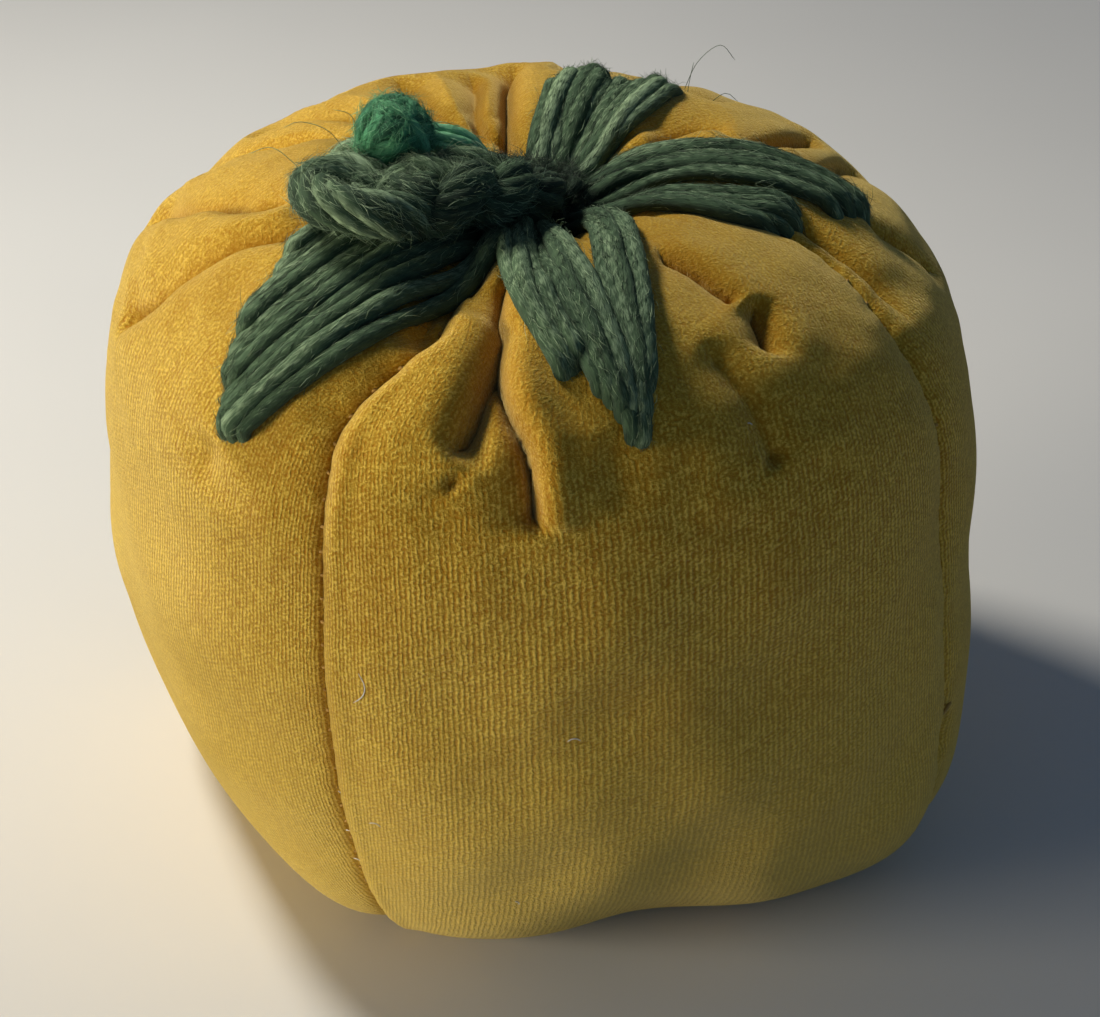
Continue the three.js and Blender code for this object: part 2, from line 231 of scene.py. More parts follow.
# ---- Meshes ----
class Shape:
    """Points and faces gathered for one piece, with a tone for each point and a slot for each face."""

    def __init__(self):
        self.points, self.tones, self.cloth, self.faces, self.slots = [], [], [], [], []
        self.count = 0

    def add(self, points, *faces, tone=0.5, slot=0, cloth=None):
        """Adds points, arrays of faces between them, and the place of each point on its cloth or yarn."""
        self.points.append(points)
        self.tones.append(np.broadcast_to(tone, len(points)))
        self.cloth.append(np.zeros_like(points) if cloth is None else cloth)
        self.faces += [rows + self.count for rows in faces]
        self.slots += [np.full(len(rows), slot) for rows in faces]
        self.count += len(points)

    def build(self, name, materials):
        """Makes the Blender object, in metres, with smooth faces."""
        corners = np.concatenate([rows.ravel() for rows in self.faces])
        sizes = np.concatenate([np.full(len(rows), rows.shape[1]) for rows in self.faces])
        mesh = bpy.data.meshes.new(name)
        mesh.vertices.add(self.count)
        mesh.vertices.foreach_set("co", (np.concatenate(self.points) * MM).ravel())
        mesh.loops.add(len(corners))
        mesh.loops.foreach_set("vertex_index", corners)
        mesh.polygons.add(len(sizes))
        mesh.polygons.foreach_set("loop_start", np.cumsum(sizes) - sizes)
        mesh.polygons.foreach_set("material_index", np.concatenate(self.slots))
        mesh.update(calc_edges=True)
        mesh.polygons.foreach_set("use_smooth", np.ones(len(sizes), bool))
        tone = mesh.attributes.new("tone", "FLOAT", "POINT")
        tone.data.foreach_set("value", np.concatenate(self.tones))
        cloth = mesh.attributes.new("cloth", "FLOAT_VECTOR", "POINT")
        cloth.data.foreach_set("vector", np.concatenate(self.cloth).ravel())
        mesh.validate()
        for material in materials:
            mesh.materials.append(material)
        piece = bpy.data.objects.new(name, mesh)
        bpy.context.scene.collection.objects.link(piece)
        return piece


def make_piece(shape, name, materials, node, body="cushion"):
    """Builds a piece, rides it on its body and hides the CAD node it stands in for, if any."""
    piece = shape.build(name, materials)
    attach(piece, body)
    if node:
        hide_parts(node)
    return piece


def ring_quads(rows, columns):
    """Faces of a tube of rows of points that close on themselves."""
    i, j = np.meshgrid(np.arange(rows - 1), np.arange(columns), indexing="ij")
    a = i * columns + j
    b = i * columns + (j + 1) % columns
    return np.stack([a, b, b + columns, a + columns], -1).reshape(-1, 4)


def closed_faces(rows, columns):
    """Faces of rings of points stacked from the top down, closed by two more points, the top one first."""
    column = np.arange(columns)
    nexts = (column + 1) % columns
    last = (rows - 1) * columns
    top = np.full(columns, rows * columns)
    caps = np.concatenate([
        np.stack([column, nexts, top], -1),
        np.stack([last + nexts, last + column, top + 1], -1),
    ])
    return ring_quads(rows, columns)[:, ::-1], caps


def capped(points, columns, sunk=0.0):
    """Rings of points with the middles of the first, sunk a little, and of the last one added."""
    top = points[:columns].mean(0) - (0.0, 0.0, sunk)
    return np.vstack([points, top, points[-columns:].mean(0)])


def shell_faces(rows, columns):
    """Faces that close two grids of points, the outer one first, into a thin shell."""
    i, j = np.meshgrid(np.arange(rows - 1), np.arange(columns - 1), indexing="ij")
    corner = (i * columns + j).ravel()
    inner = np.stack([corner, corner + 1, corner + columns + 1, corner + columns], -1)
    top = np.arange(columns)
    left = np.arange(rows) * columns
    edge = np.concatenate([top, left[1:] + columns - 1, left[-1] + top[-2::-1], left[-2::-1]])
    a, b = edge[:-1], edge[1:]
    count = rows * columns
    rim = np.stack([b + count, a + count, a, b], -1)
    return np.concatenate([inner[:, ::-1], inner + count, rim])


# ---- The filling's pressure on the cloth, from a cloth simulation of the plain form ----
STUFFED = {"rows": 44, "columns": 96, "first_arc": 5.0}  # its grid, from this far out to the base
PRESSING = {"frames": 20, "pressure": 4.0, "quality": 6, "cap": 1.3}
ENLARGED = 25.0  # the cloth solver works at furniture size, so the form is enlarged for it
HELD = {"seam": 2.5, "gathers": 9.0, "base": 3.0}  # degrees beside a seam, and arcs at the two ends


def stuffed_form():
    """The plain form as a coarse closed mesh, held at its seams and ends, its points and its ways out."""
    columns = STUFFED["columns"]
    arcs = np.linspace(STUFFED["first_arc"], BASE_ARC, STUFFED["rows"])
    angle, arc = places_on(np.linspace(-180.0, 180.0, columns, endpoint=False), arcs)
    points, outs, _ = body_frame(angle, arc)
    shape = Shape()
    shape.add(capped(points, columns) * ENLARGED, *closed_faces(STUFFED["rows"], columns))
    form = shape.build("stuffed_form", [])
    beside = np.min([np.abs(turn_between(angle, at)) for at in SEAM_ANGLES.values()], axis=0)
    held = (beside < HELD["seam"]) | (arc < HELD["gathers"]) | (arc > BASE_ARC - HELD["base"])
    group = form.vertex_groups.new(name="held")
    group.add([*map(int, np.flatnonzero(held)), len(points), len(points) + 1], 1.0, "REPLACE")
    return form, points, outs


def settled_places(form):
    """Where the form's points stand, in millimetres, after the filling has pushed on them."""
    cloth = form.modifiers.new("cloth", "CLOTH")
    cloth.settings.quality = PRESSING["quality"]
    cloth.settings.use_pressure = True
    cloth.settings.uniform_pressure_force = PRESSING["pressure"]
    cloth.settings.effector_weights.gravity = 0.0
    cloth.settings.vertex_group_mass = "held"
    cloth.point_cache.frame_start = 1
    cloth.point_cache.frame_end = PRESSING["frames"]
    for step in range(1, PRESSING["frames"] + 1):
        bpy.context.scene.frame_set(step)
    settled = form.evaluated_get(bpy.context.evaluated_depsgraph_get()).data
    places = np.empty(len(settled.vertices) * 3)
    settled.vertices.foreach_get("co", places)
    return places.reshape(-1, 3) / MM / ENLARGED


def stuffed_push():
    """How far the filling pushes the cloth out of the plain form, on a grid of arcs by angles."""
    form, points, outs = stuffed_form()
    moved = settled_places(form)[: len(points)] - points
    bpy.data.objects.remove(form)
    bpy.context.scene.frame_set(1)
    push = np.sum(moved * outs, axis=1).reshape(STUFFED["rows"], STUFFED["columns"])
    push = PRESSING["cap"] * np.tanh(push / PRESSING["cap"])
    return push - push.mean(axis=1, keepdims=True)


push_grid = stuffed_push()


def pushed_out(angle, arc):
    """The filling's push at any places, from the nearest four of the grid."""
    column = (angle + 180.0) / 360.0 * STUFFED["columns"]
    row = np.clip((arc - STUFFED["first_arc"]) / (BASE_ARC - STUFFED["first_arc"]), 0.0, 1.0)
    row = row * (STUFFED["rows"] - 1)
    left, above = np.floor(column).astype(int), np.minimum(np.floor(row).astype(int), STUFFED["rows"] - 2)
    aside, down = column - left, row - above
    left, right = left % STUFFED["columns"], (left + 1) % STUFFED["columns"]
    upper = mix(push_grid[above, left], push_grid[above, right], aside)
    lower = mix(push_grid[above + 1, left], push_grid[above + 1, right], aside)
    return mix(upper, lower, down)


# ---- Folds of the cloth ----
# A fold follows places (angle, arc) out from the gathers. Side 1 is to the left of the way it runs, as
# seen from above, and the cloth on that side stands up in a lip and laps over the crease.
Fold = namedtuple(
    "Fold", "path depth width lip side lip_width lap head tail soft",
    defaults=(0.0, 1, 1.5, 0.0, 3.0, 3.0, 0.9),
)
FRONT_FOLDS = [
    Fold([(-112, 22), (-113, 32), (-111, 38), (-108, 42.4), (-107, 47), (-107, 50)],
         depth=2.6, width=0.8, lip=1.8, lip_width=1.6, lap=0.9, head=4, tail=1.2, soft=1.5),
    Fold([(-112, 29), (-114, 33), (-116, 37.4), (-117, 40.6), (-119, 43.5)],
         depth=3.4, width=1.5, lip=1.1, side=-1, lip_width=2.4, lap=1.0, head=2, tail=2.2, soft=1.4),
    Fold([(-118.6, 45), (-117.6, 46.2)], depth=0.8, width=0.6, head=0.4, tail=0.4, soft=0.3),
    Fold([(-98, 41), (-97, 45.6), (-97, 50)], depth=0.4, width=2.4, soft=0.4),
    Fold([(-72, 22), (-69, 26), (-68, 29.7), (-67, 32)],
         depth=1.7, width=0.7, lip=0.9, lip_width=1.7, lap=0.8, head=2, tail=1, soft=0.9),
    Fold([(-64.5, 32.4), (-66, 35), (-68.4, 38.4)],
         depth=2.6, width=1.2, lip=0.6, lip_width=1.9, lap=1.0, head=1.6, tail=1.8, soft=0.7),
    Fold([(-79, 34), (-77, 38), (-75.5, 42), (-75, 47)],
         depth=0.8, width=1.4, lip=0.25, lip_width=1.9, lap=0.2, head=3, tail=2.0, soft=0.5),
    Fold([(-75.4, 45.6), (-74.6, 47.6)], depth=1.4, width=0.8, head=0.8, tail=0.8, soft=0.3),
    Fold([(-33, 27), (-36, 31), (-38.5, 37), (-41, 43)],
         depth=1.0, width=0.9, lip=0.3, side=-1, lip_width=2.4, lap=0.4, head=4, tail=5, soft=0.7),
    Fold([(-127, 22), (-128, 29), (-128, 35)], depth=1.0, width=1.4, soft=0.9),
    Fold([(-102, 12), (-104, 20), (-106, 27)], depth=1.3, width=1.1, lip=0.5, lip_width=1.8, soft=0.9),
    Fold([(-121, 10), (-122, 18), (-121, 27)], depth=1.5, width=1.0, lip=0.7, lip_width=1.8, soft=1.1),
]
LEFT_FOLDS = [
    Fold([(-166, 18), (-168, 24), (-170, 28), (-175, 32.4), (-179, 39), (178, 43.8), (171, 49)],
         depth=2.5, width=0.9, lip=1.3, lip_width=2.2, lap=0.9, head=4, tail=3, soft=1.5),
    Fold([(176, 24), (175, 28), (172, 30.4), (166, 33), (160, 37.5), (147, 46)],
         depth=2.2, width=0.9, lip=1.1, lip_width=2.0, lap=0.8, head=4, tail=3, soft=1.4),
    Fold([(-163, 25.6), (-166, 29.6)], depth=1.1, width=0.7, lip=0.5, head=1, tail=1.4, soft=0.5),
    Fold([(-152, 47), (-155, 53)], depth=0.5, width=2.0, soft=0.5),
]
BACK_FOLDS = [
    Fold([(102, 12), (104, 21), (102, 27), (100, 33)], depth=2.0, width=0.9, lip=0.8, lap=0.4, soft=2.0),
    Fold([(93, 12), (90, 19), (85, 26), (84, 32)], depth=1.6, width=1.4, lip=0.6, side=-1, soft=1.6),
    Fold([(85, 9), (78, 19.6), (76, 30), (74, 36)],
         depth=2.6, width=0.9, lip=1.2, side=-1, lip_width=1.8, lap=0.7, soft=2.2),
    Fold([(120, 16), (122, 24), (124, 32), (127, 40)], depth=2.0, width=1.0, lip=1.0, lap=0.6, soft=1.8),
    Fold([(62, 26), (60, 33), (57, 40)], depth=1.8, width=1.0, lip=0.9, side=-1, lap=0.5, soft=1.6),
    Fold([(140, 26), (139, 34), (140, 42)], depth=1.5, width=1.0, lip=0.7, soft=1.4),
    Fold([(110, 33), (112, 38), (111, 45)], depth=1.3, width=1.2, lip=0.7, side=-1, lap=0.4),
    Fold([(92, 37), (91, 43), (93, 50)], depth=1.4, width=1.1, lip=0.8, lap=0.6),
]
RIGHT_FOLDS = [
    Fold([(16, 16), (12, 22), (4, 24.5)], depth=1.8, width=0.9, lip=0.7, side=-1, lap=0.5, soft=1.2),
    Fold([(-4, 21), (3, 26), (9, 32.4), (14, 38)], depth=1.8, width=0.9, lip=0.7, lap=0.7, soft=1.3),
    Fold([(-12, 25), (-7, 28.4), (-5, 31)], depth=1.0, width=0.8, lip=0.4, head=1.5, tail=1.5, soft=0.6),
    Fold([(-13, 28), (-5, 33), (4, 38), (9, 43)], depth=1.4, width=0.9, lip=0.5, lap=0.6, soft=1.1),
    Fold([(30, 27), (28, 33), (29, 41)], depth=1.8, width=1.0, lip=0.9, side=-1, lap=0.5, soft=1.5),
    Fold([(-24, 34), (-22, 39), (-20, 46)], depth=0.9, width=1.0, lip=0.4, lap=0.4, soft=0.8),
    Fold([(20, 40), (19, 46), (21, 52)], depth=0.9, width=1.2, lip=0.5, soft=0.8),
]
FOLDS = FRONT_FOLDS + LEFT_FOLDS + BACK_FOLDS + RIGHT_FOLDS
FOLD_REACH = 14.0  # past this distance a fold is not felt
SOFT_WIDTH = 4.2  # of the broad hollow that the cloth between two puffs sinks into
FOLD_STEP = 1.2
CREASE_POWER = 1.3
LIP_FALL = 1.5  # a lip falls away over this many of its widths
# painted shade in the creases: its width, and the fold depth that gets all of it
PAINTED_FOLD_SHADE = {"width": 1.6, "full_depth": 2.0}

# The two front seams bend as they reach the gathers: the turn in degrees, and the arcs it fades between.
SEAM_BENDS = {"front_left": 10.0, "front_right": 5.0}
SEAM_BEND_ARCS = (30.0, 44.0)
SEAM_GROOVE = {"depth": 1.1, "width": 0.75, "soft": 0.7, "soft_width": 3.6}
STITCH_STEP = 2.6
PUCKER = {"height": 0.07, "width": 2.2, "drift": 2.0, "drift_arc": 7.0}
# A raised edge on the front panel's side of the front-left seam, that starts this far from the gathers.
SEAM_LIP = {"corner": "front_left", "height": 0.45, "at": 1.7, "width": 1.3, "from": 30.0, "over": 8.0}
CLOSING = {"corner": "front_right", "from": 86.0, "to": 93.0, "depth": 1.9, "width": 1.6, "end": 2.0}

PUFF = {"height": 0.9, "from": 6.0, "rise": 14.0, "to": 62.0, "fall": 18.0}
PLEATS = {"count": 26, "height": 1.2, "arc": 9.0, "spread": 8.0, "drift": 1.1, "power": 0.8, "sunk": 0.6}
# painted shade in the pleat valleys near the gathers
PAINTED_PLEAT_SHADE = {"tone": 0.55, "arc": 4.0, "spread": 13.0}
SWELLING = 0.34
RIPPLE = 0.10
CALM = {"least": 0.4, "arc": 48.0, "over": 22.0, "base": 20.0}  # the swelling is less at the top and base
RIPPLE_ARCS = (40.0, 70.0)
FRONT_DENT = {"angle": -91.0, "arc": 105.0, "depth": 1.5, "half_angle": 13.0, "half_arc": 8.0}
EDGES = {"gathers": 1.5, "gathers_over": 3.0, "base": 0.15, "base_over": 4.0}  # the relief fades at both
LOWEST = 0.05  # no part of the side panels is lower than this

swelling = waves(3, 15.0)
ripple = waves(4, 5.0)
pleat_drift = waves(5, 9.0)

# shade is painted shade: darker colour in the creases and pleat valleys
Relief = namedtuple("Relief", "height shift hollow shade")


def beside_path(plan, line):
    """Signed distance to a line on the plan, how far along it that is, its length, and its left side."""
    runs = line[1:] - line[:-1]
    lengths = np.linalg.norm(runs, axis=1)
    before = distances_along(line)
    best = np.full(len(plan), np.inf)
    along, signed = np.zeros(len(plan)), np.zeros(len(plan))
    left = np.zeros((len(plan), 2))
    for start, run, length, walked in zip(line[:-1], runs, lengths, before):
        offset = plan - start
        t = np.clip(offset @ run / length**2, 0.0, 1.0)
        distance = np.linalg.norm(offset - t[:, None] * run, axis=1)
        normal = np.array([-run[1], run[0]]) / length
        nearer = distance < best
        best[nearer] = distance[nearer]
        along[nearer] = walked + t[nearer] * length
        signed[nearer] = (distance * np.where(offset @ normal < 0, -1.0, 1.0))[nearer]
        left[nearer] = normal
    return signed, along, before[-1], left


def lip_height(side, width):
    """The height of a lip of cloth beside a crease: round on the crease's side, and long behind."""
    past = side - width
    rise = np.where(side > 0, np.sqrt(np.clip(1.0 - (past / width) ** 2, 0.0, 1.0)), 0.0)
    return np.where(side < width, rise, bell(past, LIP_FALL * width))


def add_fold(shape, plan, relief):
    """Adds one fold's crease, lip and lap to the places near it."""
    line = curve_through(plan_of(*np.array(shape.path, float).T), FOLD_STEP)
    span = np.max(np.linalg.norm(line - line.mean(0), axis=1))
    near = np.flatnonzero(np.linalg.norm(plan - line.mean(0), axis=1) < span + FOLD_REACH)
    if not len(near):
        return
    signed, along, length, left = beside_path(plan[near], line)
    distance, side = np.abs(signed), signed * shape.side
    fade = ease(along / shape.head) * ease((length - along) / shape.tail)
    crease = np.exp(-((distance / shape.width) ** CREASE_POWER))
    relief.height[near] += fade * (shape.lip * lip_height(side, shape.lip_width) - shape.depth * crease)
    lapping = np.where(side > 0, bell(side, LIP_FALL * shape.lip_width), 0.0)
    relief.shift[near] -= (fade * lapping * shape.lap * shape.side)[:, None] * left
    hollow = fade * shape.soft * bell(distance, SOFT_WIDTH)
    relief.hollow[near] = np.maximum(relief.hollow[near], hollow)
    # painted shade: the cloth is coloured darker near each crease
    shade = fade * np.exp(-distance / PAINTED_FOLD_SHADE["width"]) * min(1.0, shape.depth / PAINTED_FOLD_SHADE["full_depth"])
    relief.shade[near] = np.maximum(relief.shade[near], shade)


def bend_seams(angle, arc):
    """The two front seams swing round as they come up to the gathers."""
    bend = np.zeros_like(angle)
    share = 1.0 - ease((arc - SEAM_BEND_ARCS[0]) / (SEAM_BEND_ARCS[1] - SEAM_BEND_ARCS[0]))
    for corner, turn in SEAM_BENDS.items():
        bend += turn * bell(turn_between(angle, SEAM_ANGLES[corner]), CORNER_SPREAD) * share
    return angle + bend


def seam_relief(angle, arc, radius):
    """How far the cloth stands above or below the plain form beside its four corner seams."""
    height = np.zeros_like(angle)
    for corner, at in SEAM_ANGLES.items():
        aside = np.radians(turn_between(angle, at)) * radius
        height -= SEAM_GROOVE["depth"] * np.exp(-np.abs(aside) / SEAM_GROOVE["width"])
        height -= SEAM_GROOVE["soft"] * bell(aside, SEAM_GROOVE["soft_width"])
        drift = PUCKER["drift"] * np.sin(arc / PUCKER["drift_arc"])
        pucker = np.sin(FULL_TURN * arc / STITCH_STEP + drift)
        height += PUCKER["height"] * pucker * bell(aside, PUCKER["width"])
        if corner == SEAM_LIP["corner"]:
            lip = bell(aside - SEAM_LIP["at"], SEAM_LIP["width"])
            height += SEAM_LIP["height"] * lip * ease((arc - SEAM_LIP["from"]) / SEAM_LIP["over"])
        if corner == CLOSING["corner"]:
            start, end = (arc - CLOSING["from"]) / CLOSING["end"], (CLOSING["to"] - arc) / CLOSING["end"]
            height -= CLOSING["depth"] * bell(aside, CLOSING["width"]) * ease(start) * ease(end)
    return height


def gathers_relief(angle, arc, plan):
    """The height of the fine pleats round the middle, and the painted shade in their valleys."""
    turn = np.radians(angle) * PLEATS["count"] / 2.0 + PLEATS["drift"] * pleat_drift(plan)
    ridge = np.abs(np.sin(turn))
    height = PLEATS["height"] * (ridge ** PLEATS["power"] - PLEATS["sunk"])
    height = height * bell(arc - PLEATS["arc"], PLEATS["spread"])
    shade = PAINTED_PLEAT_SHADE["tone"] * bell(arc - PAINTED_PLEAT_SHADE["arc"], PAINTED_PLEAT_SHADE["spread"]) * (1.0 - ridge)
    return height, shade


def lumpy_relief(angle, arc, point):
    """The soft lumps of the filling and the dent low on the front."""
    calm = mix(CALM["least"], 1.0, ease((arc - CALM["arc"]) / CALM["over"]))
    calm = calm * ease((BASE_ARC - arc) / CALM["base"])
    rippled = ease((RIPPLE_ARCS[1] - arc) / (RIPPLE_ARCS[1] - RIPPLE_ARCS[0]))
    dent = bell(turn_between(angle, FRONT_DENT["angle"]), FRONT_DENT["half_angle"])
    dent = dent * bell(arc - FRONT_DENT["arc"], FRONT_DENT["half_arc"])
    return SWELLING * swelling(point) * calm + RIPPLE * ripple(point) * rippled - FRONT_DENT["depth"] * dent


def cloth_relief(angle, arc):
    """Height over the plain form, sideways shift on the plan and painted fold shade, for flat arrays of
    places.
    """
    bent = bend_seams(angle, arc)
    plan = plan_of(bent, arc)
    point = body_at(bent, arc)
    count = len(plan)
    relief = Relief(np.zeros(count), np.zeros((count, 2)), np.zeros(count), np.zeros(count))
    for shape in FOLDS:
        add_fold(shape, plan, relief)
    pleats, painted_pleat_shade = gathers_relief(bent, arc, plan)
    puff = ease((arc - PUFF["from"]) / PUFF["rise"]) * ease((PUFF["to"] - arc) / PUFF["fall"])
    height = relief.height + puff * (PUFF["height"] - relief.hollow) + pleats
    height += lumpy_relief(angle, arc, point) + pushed_out(bent, arc)
    height += seam_relief(angle, arc, np.hypot(point[:, 0], point[:, 1]))
    height *= ease((arc - GATHER_ARC + EDGES["gathers"]) / EDGES["gathers_over"])
    height *= mix(EDGES["base"], 1.0, ease((BASE_ARC - arc) / EDGES["base_over"]))
    return height, relief.shift, np.maximum(relief.shade, painted_pleat_shade)


def cloth_points(angle, arc):
    """Points of the cloth's outer face, its outward directions and its painted fold shade."""
    height, shift, shade = cloth_relief(angle, arc)
    moved_angle, moved_arc = place_of(plan_of(bend_seams(angle, arc), arc) + shift)
    point, out, _ = body_frame(moved_angle, np.clip(moved_arc, 0.3, BASE_ARC))
    point = point + out * height[:, None]
    point[:, 2] = np.maximum(point[:, 2], LOWEST)
    return point, out, shade


# ---- Body: four velour panels, a base, and the wadding inside ----
PANEL_COLUMNS = 176
SEAM_CROWDING = 0.5  # columns stand this much closer at the seams
FINE_ROW, COARSE_ROW, FINE_ARC = 0.52, 0.95, 54.0
SEAM_CLEARANCE = 0.05
LEAST_RADIUS = 4.0
INNER_FOOT = 3.0  # the cloth's inner face rises off the base over this height
FLAT_TOP = 0.35  # the least share of its width that a panel's flat cloth has at the gathers
PANELS_APART = 9.0  # between the panels' places in the material, so that no two look the same
BASE = {"points": 240, "rings": 40, "inset": 0.15, "under": 0.02, "turned_up": 0.5, "turn_share": 0.1}
BASE_TONE = 0.1
BASE_CLOTH_PLACE = 50.0  # where the base's cloth lies in the material, away from the panels' places
WADDING = {"depth": 5.0, "lump": 0.6, "rows": 70, "columns": 160, "top": 0.86, "bottom": -0.93, "sunk": 1.0}


def panel_places(middle):
    """The angle and the arc of a panel's grid of places, finer near the gathers and the seams."""
    fine = np.arange(GATHER_ARC, FINE_ARC, FINE_ROW)
    coarse = np.linspace(FINE_ARC, BASE_ARC, int((BASE_ARC - FINE_ARC) / COARSE_ROW))
    arcs = np.concatenate([fine, coarse])
    share = np.linspace(0.0, 1.0, PANEL_COLUMNS)
    share = share - SEAM_CROWDING * np.sin(FULL_TURN * share) / FULL_TURN
    radius = np.maximum(HALF_WIDTH * profile(level_of(arcs))[0], LEAST_RADIUS)
    kept = 1.0 - SEAM_CLEARANCE / radius / math.radians(45.0)
    angle = middle + kept[:, None] * (90.0 * share - 45.0)
    return angle.ravel(), np.repeat(arcs, PANEL_COLUMNS), len(arcs)


def panel_cloth(turn, arc, number):
    """Where each place lies on the flat cloth: across and along its ribs, and a number for the panel."""
    level = level_of(arc)
    reach = profile(level)[0]
    spread = np.where(level > 0, mix(FLAT_TOP, 1.0, reach), reach)
    across = HALF_WIDTH * spread * np.tan(np.radians(turn))
    return np.stack([across, arc, np.full_like(arc, PANELS_APART * number)], -1)


def velour_panel(name, middle, number):
    """One side panel: a shell of cloth with its folds, gathers and seam grooves."""
    angle, arc, rows = panel_places(middle)
    outer, out, shade = cloth_points(angle, arc)
    inner = outer - out * CLOTH
    inner[:, 2] = np.maximum(inner[:, 2], LOWEST + CLOTH * ease((outer[:, 2] - LOWEST) / INNER_FOOT))
    cloth = np.tile(panel_cloth(angle - middle, arc, number), (2, 1))
    shape = Shape()
    faces = shell_faces(rows, PANEL_COLUMNS)
    # the tone is the painted fold shade
    shape.add(np.concatenate([outer, inner]), faces, tone=np.tile(shade, 2), cloth=cloth)
    make_piece(shape, name + "_velour", [velour], name)


def velour_base():
    """The base: a flat closed disc of cloth whose edge turns up into the seam."""
    outline = plain_body(np.linspace(0.0, 360.0, BASE["points"], endpoint=False), -1.0)[:, :2]
    outline = outline * (1.0 - BASE["inset"] / np.linalg.norm(outline, axis=1, keepdims=True))

    def ring(share, lift):
        turned_up = BASE["turned_up"] * ease((share - 1.0) / BASE["turn_share"] + 1.0)
        return np.column_stack([outline * share, np.full(len(outline), BASE["under"] + turned_up + lift)])

    shares = np.linspace(0.0, 1.0, BASE["rings"] + 1)[1:]
    rings = [ring(share, CLOTH) for share in shares] + [ring(share, 0.0) for share in shares[::-1]]
    points = np.vstack([*rings, (0.0, 0.0, BASE["under"] + CLOTH), (0.0, 0.0, BASE["under"])])
    cloth = points.copy()
    cloth[:, 2] = BASE_CLOTH_PLACE
    shape = Shape()
    shape.add(points, *closed_faces(len(rings), BASE["points"]), tone=BASE_TONE, cloth=cloth)
    make_piece(shape, "base_velour", [velour], "base_panel")


def wadding():
    """The stuffing: a lumpy closed form well inside the cloth."""
    columns = WADDING["columns"]
    levels = np.linspace(WADDING["top"], WADDING["bottom"], WADDING["rows"])
    arcs = np.interp(-levels, -WALK_LEVEL, WALK_ARC)
    point, out, _ = body_frame(*places_on(np.linspace(0.0, 360.0, columns, endpoint=False), arcs))
    depth = WADDING["depth"] - WADDING["lump"] * waves(11, 7.0)(point)
    points = capped(point - out * depth[:, None], columns, WADDING["sunk"])
    shape = Shape()
    shape.add(points, *closed_faces(WADDING["rows"], columns))
    make_piece(shape, "wadding", [wadding_fibre], "stuffing")


# ---- Yarn and its hairs ----
YARN = {"step": 0.5, "sides": 12, "plies": 3, "pitch": 5.5, "uneven": 0.06}
PAINTED_UNDERSIDE_SHADE = 0.24  # painted shade: how much darker a yarn's underside is than its top
PAINTED_PLY_SHADE = 0.05  # painted shade: how much darker it is between its plies
HAIR = {"thin": 0.014, "thick": 0.030, "curl": 0.35, "slant": (0.06, 0.2), "painted_glints": 0.14}
LOOSE_HAIR = {"outwards": (0.05, 0.45), "bow": (0.2, 0.7)}
CLOSE_HAIR = {"outwards": 0.02, "bow": (0.04, 0.2)}
HAIR_TAPER = np.array([0.7, 1.0, 0.3])
HAIR_SIDES = 3

# How hairy a yarn is: hairs for each millimetre, their painted highlight as a tone over the yarn's, the
# loose share, their length.
Fuzz = namedtuple("Fuzz", "per_mm lighter loose length", defaults=(2.4,))
Hairs = namedtuple("Hairs", "starts ways outs bows lengths radii")


def path_frames(path):
    """Unit vectors along a path and two square to it that turn as little as they can."""
    along = unit(np.gradient(path, axis=0))
    side = np.zeros_like(path)
    first = np.cross(along[0], (0.0, 0.0, 1.0))
    if np.linalg.norm(first) < 0.1:
        first = np.cross(along[0], (1.0, 0.0, 0.0))
    side[0] = unit(first)
    for i in range(1, len(path)):
        side[i] = unit(side[i - 1] - along[i] * (side[i - 1] @ along[i]))
    return along, side, np.cross(along, side)


def ply_ring(walked, radius, plies, random):
    """The angles round a yarn, how far its surface is from its middle, and where its plies stand out."""
    theta = np.linspace(0.0, FULL_TURN, YARN["sides"], endpoint=False)
    phase = random.uniform(0.0, FULL_TURN)
    twist = FULL_TURN * walked / YARN["pitch"] + phase
    ply = np.cos(YARN["plies"] * (theta - twist[:, None]))
    uneven = 1.0 + YARN["uneven"] * np.sin(walked * random.uniform(0.5, 0.9) + phase)
    ends = np.clip(np.minimum(walked, walked[-1] - walked) / radius, 0.06, 1.0)
    rounding = np.sqrt(1.0 - (1.0 - ends) ** 2)
    return theta, radius * (1.0 + plies * ply) * (uneven * rounding)[:, None], ply


def yarn(shape, path, radius, random, tone=0.5, flat=1.0, plies=0.03):
    """A closed tube of plied yarn along a path, with round ends. The tone is one value or runs along it."""
    path = curve_through(path, YARN["step"])
    tone = spread_along(tone, len(path))
    walked = distances_along(path)
    along, side, up = path_frames(path)
    theta, reach, ply = ply_ring(walked, radius, plies, random)
    ring = path[:, None] + side[:, None] * (reach * np.cos(theta) * flat)[..., None]
    ring = ring + up[:, None] * (reach * np.sin(theta) / flat)[..., None]
    points = np.vstack([ring.reshape(-1, 3), path[0], path[-1]])
    # painted shade: darker on the underside and between the plies
    tones = tone[:, None] + PAINTED_PLY_SHADE * ply - PAINTED_UNDERSIDE_SHADE * np.sin(theta)
    around = np.append(np.tile(theta, len(path)), (0.0, 0.0)) * radius
    lengthwise = np.append(np.repeat(walked, YARN["sides"]), walked[[0, -1]])
    cloth = np.stack([around, lengthwise, np.full(len(points), random.uniform(0.0, 90.0))], -1)
    faces = [rows[:, ::-1] for rows in closed_faces(len(path), YARN["sides"])]
    shape.add(points, *faces, tone=np.append(tones, tone[[0, -1]]), cloth=cloth)
    return path, (along, side, up), tone


